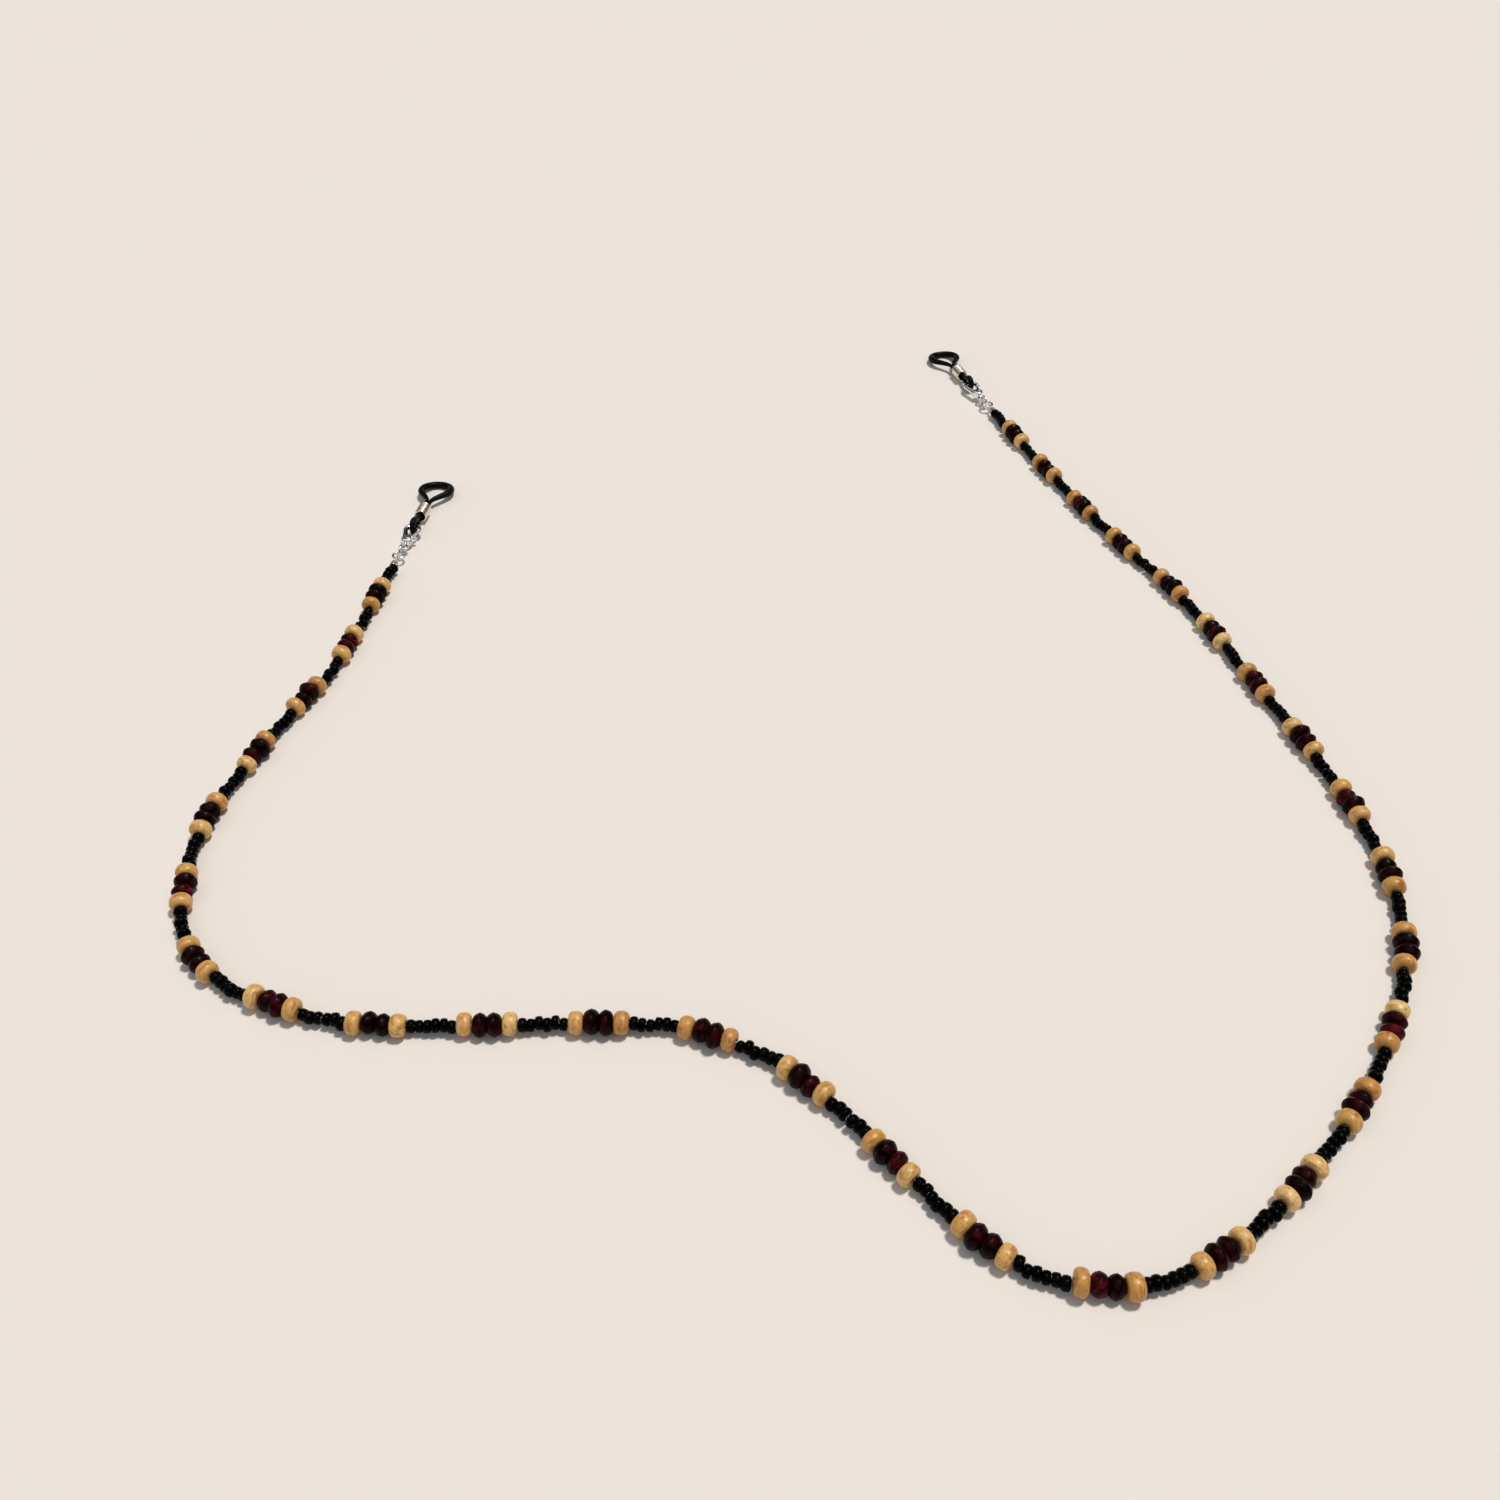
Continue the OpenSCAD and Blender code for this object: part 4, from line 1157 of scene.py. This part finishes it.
thread_turn = [on_edge(thread_loop_x, thread_loop_r, a)
               for a in steps(-90 - loop_lean, 90 + loop_lean, 20)]
thread_turn += [on_edge(turn_x, turn_r, a) for a in steps(90 + loop_lean, 270 - loop_lean, 12)]
turn_radii = [thread_d / 2] * len(thread_turn)
turn_across = [Vector((0, 1, 0))] * len(thread_turn)
for end in ends:
    loop = swept(f"{end}_thread_end", thread_turn, turn_radii, turn_across, thread_sides,
                 end_frame[end])
    dress(loop, f"{end}_thread_loop")
print("The thread turns back", round(thread_loop_x + thread_loop_r, 2), "mm beyond the beads")

# %% [markdown]
# ## Crimp beads
# A crimp bead is a soft metal tube that pliers squeeze flat in the middle, so it is turned on the
# lathe and then pinched sideways. Its walls have a few heights, so that the pinch can bend them.

# %% Crimp beads
crimp_hole_r = turn_r + thread_d / 2 + crimp_play
crimp_edge = 0.06
crimp_heights = steps(0, crimp_l / 2 - crimp_edge, 4)
crimp_outline = mirrored([
    *((crimp_hole_r, z) for z in crimp_heights),
    (crimp_hole_r + crimp_edge, crimp_l / 2), (crimp_d / 2 - crimp_edge, crimp_l / 2),
    *((crimp_d / 2, z) for z in reversed(crimp_heights)),
])
pinch, pinch_reach = 0.26, 0.5
on_the_thread = shifted(crimp_x, 0, thread_z) @ Matrix.Rotation(radians(90), 4, "Y")
for end in ends:
    mesh = lathe(f"{end}_crimp", crimp_outline, 28)
    for vertex in mesh.vertices:
        squeeze = pinch * max(0.0, 1 - (vertex.co.z / MM / pinch_reach) ** 2)
        vertex.co.y *= 1 - squeeze
    mesh.transform(end_frame[end] @ on_the_thread)
    dress(show(f"{end}_crimp", mesh), f"{end}_crimp_bead")
print("Crimp beads of", round(crimp_d * (1 - pinch), 2), "mm across the pinch")

# %% [markdown]
# ## Lobster clasps
# A clasp is cast in one, then tumbled and plated, so every edge is soft and every joint has a
# small fillet. The mechanical model has the right form with sharp edges. So its skin is copied,
# rebuilt from even small cells, which welds the forms together, and then relaxed, which rounds
# all its edges at once. Bevelling every edge by hand would take far longer and show no more. The
# lever is treated the same way.

# %% Trimming a casting
def keep_largest_shell(mesh):
    """Welding can leave a crumb of a few faces in a corner. It goes."""
    shape = bmesh.new()
    shape.from_mesh(mesh)
    unvisited, shells = set(shape.verts), []
    while unvisited:
        shell, reached = [], [unvisited.pop()]
        while reached:
            vert = reached.pop()
            shell.append(vert)
            near = {edge.other_vert(vert) for edge in vert.link_edges} & unvisited
            unvisited -= near
            reached += near
        shells.append(shell)
    shells.sort(key=len)
    for crumb in shells[:-1]:
        bmesh.ops.delete(shape, geom=crumb, context="VERTS")
    shape.to_mesh(mesh)
    shape.free()


# %% Cast pieces
def cast_from(cad_name, name, cell, relaxing):
    """A copy of a CAD solid with soft edges and fillets. The work is done in millimetres."""
    skin = bmesh.new()
    skin.from_mesh(frame["nodes"][cad_name].data)
    bmesh.ops.remove_doubles(skin, verts=skin.verts, dist=0.001 * MM)
    skin.transform(Matrix.Scale(1 / MM, 4))
    mesh = bpy.data.meshes.new(name)
    skin.to_mesh(mesh)
    skin.free()
    piece = show(name, mesh)
    welding = piece.modifiers.new("welding", "REMESH")
    welding.mode = "VOXEL"
    welding.voxel_size = cell
    tumbling = piece.modifiers.new("tumbling", "SMOOTH")
    tumbling.factor = 0.5
    tumbling.iterations = relaxing
    graph = bpy.context.evaluated_depsgraph_get()
    cast = bpy.data.meshes.new_from_object(piece.evaluated_get(graph), depsgraph=graph)
    piece.modifiers.clear()
    keep_largest_shell(cast)
    cast.transform(Matrix.Scale(MM, 4))
    cast.shade_smooth()
    piece.data = cast
    dress(piece, cad_name)
    print(name, len(cast.polygons), "faces")


for end in ends:
    cast_from(f"{end}_clasp_body", f"{end}_clasp", cell=0.06, relaxing=8)
    cast_from(f"{end}_clasp_lever", f"{end}_lever", cell=0.045, relaxing=6)

# %% [markdown]
# ## Rivets and springs
# A rivet holds the lever in the clasp, and both its ends are hammered into low domes. So it has an
# outline like a bead's, but one that starts on the axis. The spring round the rivet is hardly
# seen. The mechanical model's own wire has the true shape, so it stays and only takes its finish.

# %% Rivets
head_z = boss_t / 2 + rivet_fit
head_rim = 0.02
dome_h = rivet_head_h - head_rim
rivet_outline = mirrored([
    *((rivet_head_d / 2 * sin(radians(a)), head_z + head_rim + dome_h * cos(radians(a)))
      for a in steps(0, 90, 5)),
    (rivet_head_d / 2 - head_rim, head_z), (rivet_d / 2, head_z),
])
for end in ends:
    mesh = lathe(f"{end}_rivet", rivet_outline, 24)
    mesh.transform(clasp_frame[end] @ shifted(boss_x, -rivet_drop))
    dress(show(f"{end}_rivet", mesh), f"{end}_clasp_rivet")
print("Rivets of", round(2 * (head_z + rivet_head_h), 2), "mm")

# %% Springs
for end in ends:
    for material_slot in frame["nodes"][f"{end}_clasp_spring"].material_slots:
        material_slot.material = finishes["spring_steel"]
print("The springs keep the mechanical model's wire")

# %% [markdown]
# ## The cords
# Each length of thread is a real cord, and its length between its two cuts is printed. The
# beads, the crimp and the end loop go with it.

# %% Cords
for s, thread in zip(strands, threads):
    start, stop = thread_span(s)
    with_it = [pieces[f"strand_{s + 1}_{kind}"] for kind in bead_kinds]
    if s == 0:
        with_it += [pieces["left_crimp_bead"], pieces["left_thread_loop"]]
    if s == strands[-1]:
        with_it += [pieces["right_crimp_bead"], pieces["right_thread_loop"]]
    print(thread.name, round(stop - start, 1), "mm")

# %% [markdown]
# ## Table and light
# The strap lies on a plain warm-white table. One soft lamp stands high at the back right, so
# every bead has a small highlight at its upper right and a short grey shadow at its lower left.
# The rest is even light from all round, a little stronger from the left, which fills the shaded
# sides of the beads. Metal and glass show what stands round them. So their rays see a studio with
# the pale table at its foot, dark walls and a white panel overhead. What looks past the table's
# edge sees the table's own pale tone.

# %% Table
pale = (0.84, 0.775, 0.708)
half_side = 6.0

table = show("table", bpy.data.meshes.new("table"))
table.data.from_pydata(
    [(x * half_side, y * half_side, 0) for x, y in ((-1, -1), (1, -1), (1, 1), (-1, 1))],
    [], [(0, 1, 2, 3)])
tree, shader = new_finish("table")
set_inputs(tree, shader, {"Base Color": (*pale, 1), "Roughness": 0.9, "Specular IOR Level": 0.1})
table.data.materials.append(finishes["table"])
print("The table is", 2 * half_side, "m wide")

# %% The studio that metal, glass and the camera see
bpy.context.scene.view_settings.view_transform = "Standard"
world = bpy.data.worlds.new("studio")
bpy.context.scene.world = world
world.use_nodes = True
tree = world.node_tree
tree.nodes.clear()
ray = node(tree, "ShaderNodeLightPath").outputs
direction = node(tree, "ShaderNodeTexCoord").outputs["Generated"]
height = node(tree, "ShaderNodeSeparateXYZ", {0: direction}).outputs["Z"]
dark_wall, overhead = grey(0.05), grey(0.9)
reflected = ramp(tree, height, [(0.03, pale), (0.18, dark_wall), (0.6, dark_wall), (0.82, overhead)])
shown = blend_colours(tree, ray["Is Camera Ray"], reflected, (*pale, 1))
backdrop = node(tree, "ShaderNodeBackground", {"Color": shown, "Strength": 1.0})

# %% Even light, with a fill from the left
fill_from = (-0.95, -0.3, 0.0)
fill_middle, fill_swing = 0.33, 0.2
cool_white = (0.9, 0.98, 1.06, 1)

toward_fill = vector_maths(tree, "DOT_PRODUCT", direction, fill_from)
fill = maths(tree, "ADD", fill_middle, maths(tree, "MULTIPLY", toward_fill, fill_swing))
even_light = node(tree, "ShaderNodeBackground", {"Color": cool_white, "Strength": fill})
mirrored_ray = maths(tree, "MAXIMUM", ray["Is Glossy Ray"], ray["Is Transmission Ray"])
seen = maths(tree, "MAXIMUM", ray["Is Camera Ray"], mirrored_ray)
either = node(tree, "ShaderNodeMixShader",
              {0: seen, 1: even_light.outputs[0], 2: backdrop.outputs[0]})
node(tree, "ShaderNodeOutputWorld", {"Surface": either.outputs[0]})
print("Even light from", fill_middle - fill_swing, "to", fill_middle + fill_swing)

# %% Lamp
lamp_from = Vector((0.32, 0.2, 1.15))

lamp_data = bpy.data.lights.new("lamp", "SUN")
lamp_data.color = (1.0, 0.9625, 0.925)
lamp_data.energy = 2.334
lamp_data.angle = radians(9)
lamp = bpy.data.objects.new("lamp", lamp_data)
lamp.rotation_euler = lamp_from.to_track_quat("Z", "Y").to_euler()
bpy.context.scene.collection.objects.link(lamp)
print("The lamp stands", round(degrees(asin(lamp_from.normalized().z))), "degrees above the table")

# %% [markdown]
# ## Finish
# The last cell brings the places of all the objects up to date.

# %% Bring the scene up to date
bpy.context.view_layer.update()
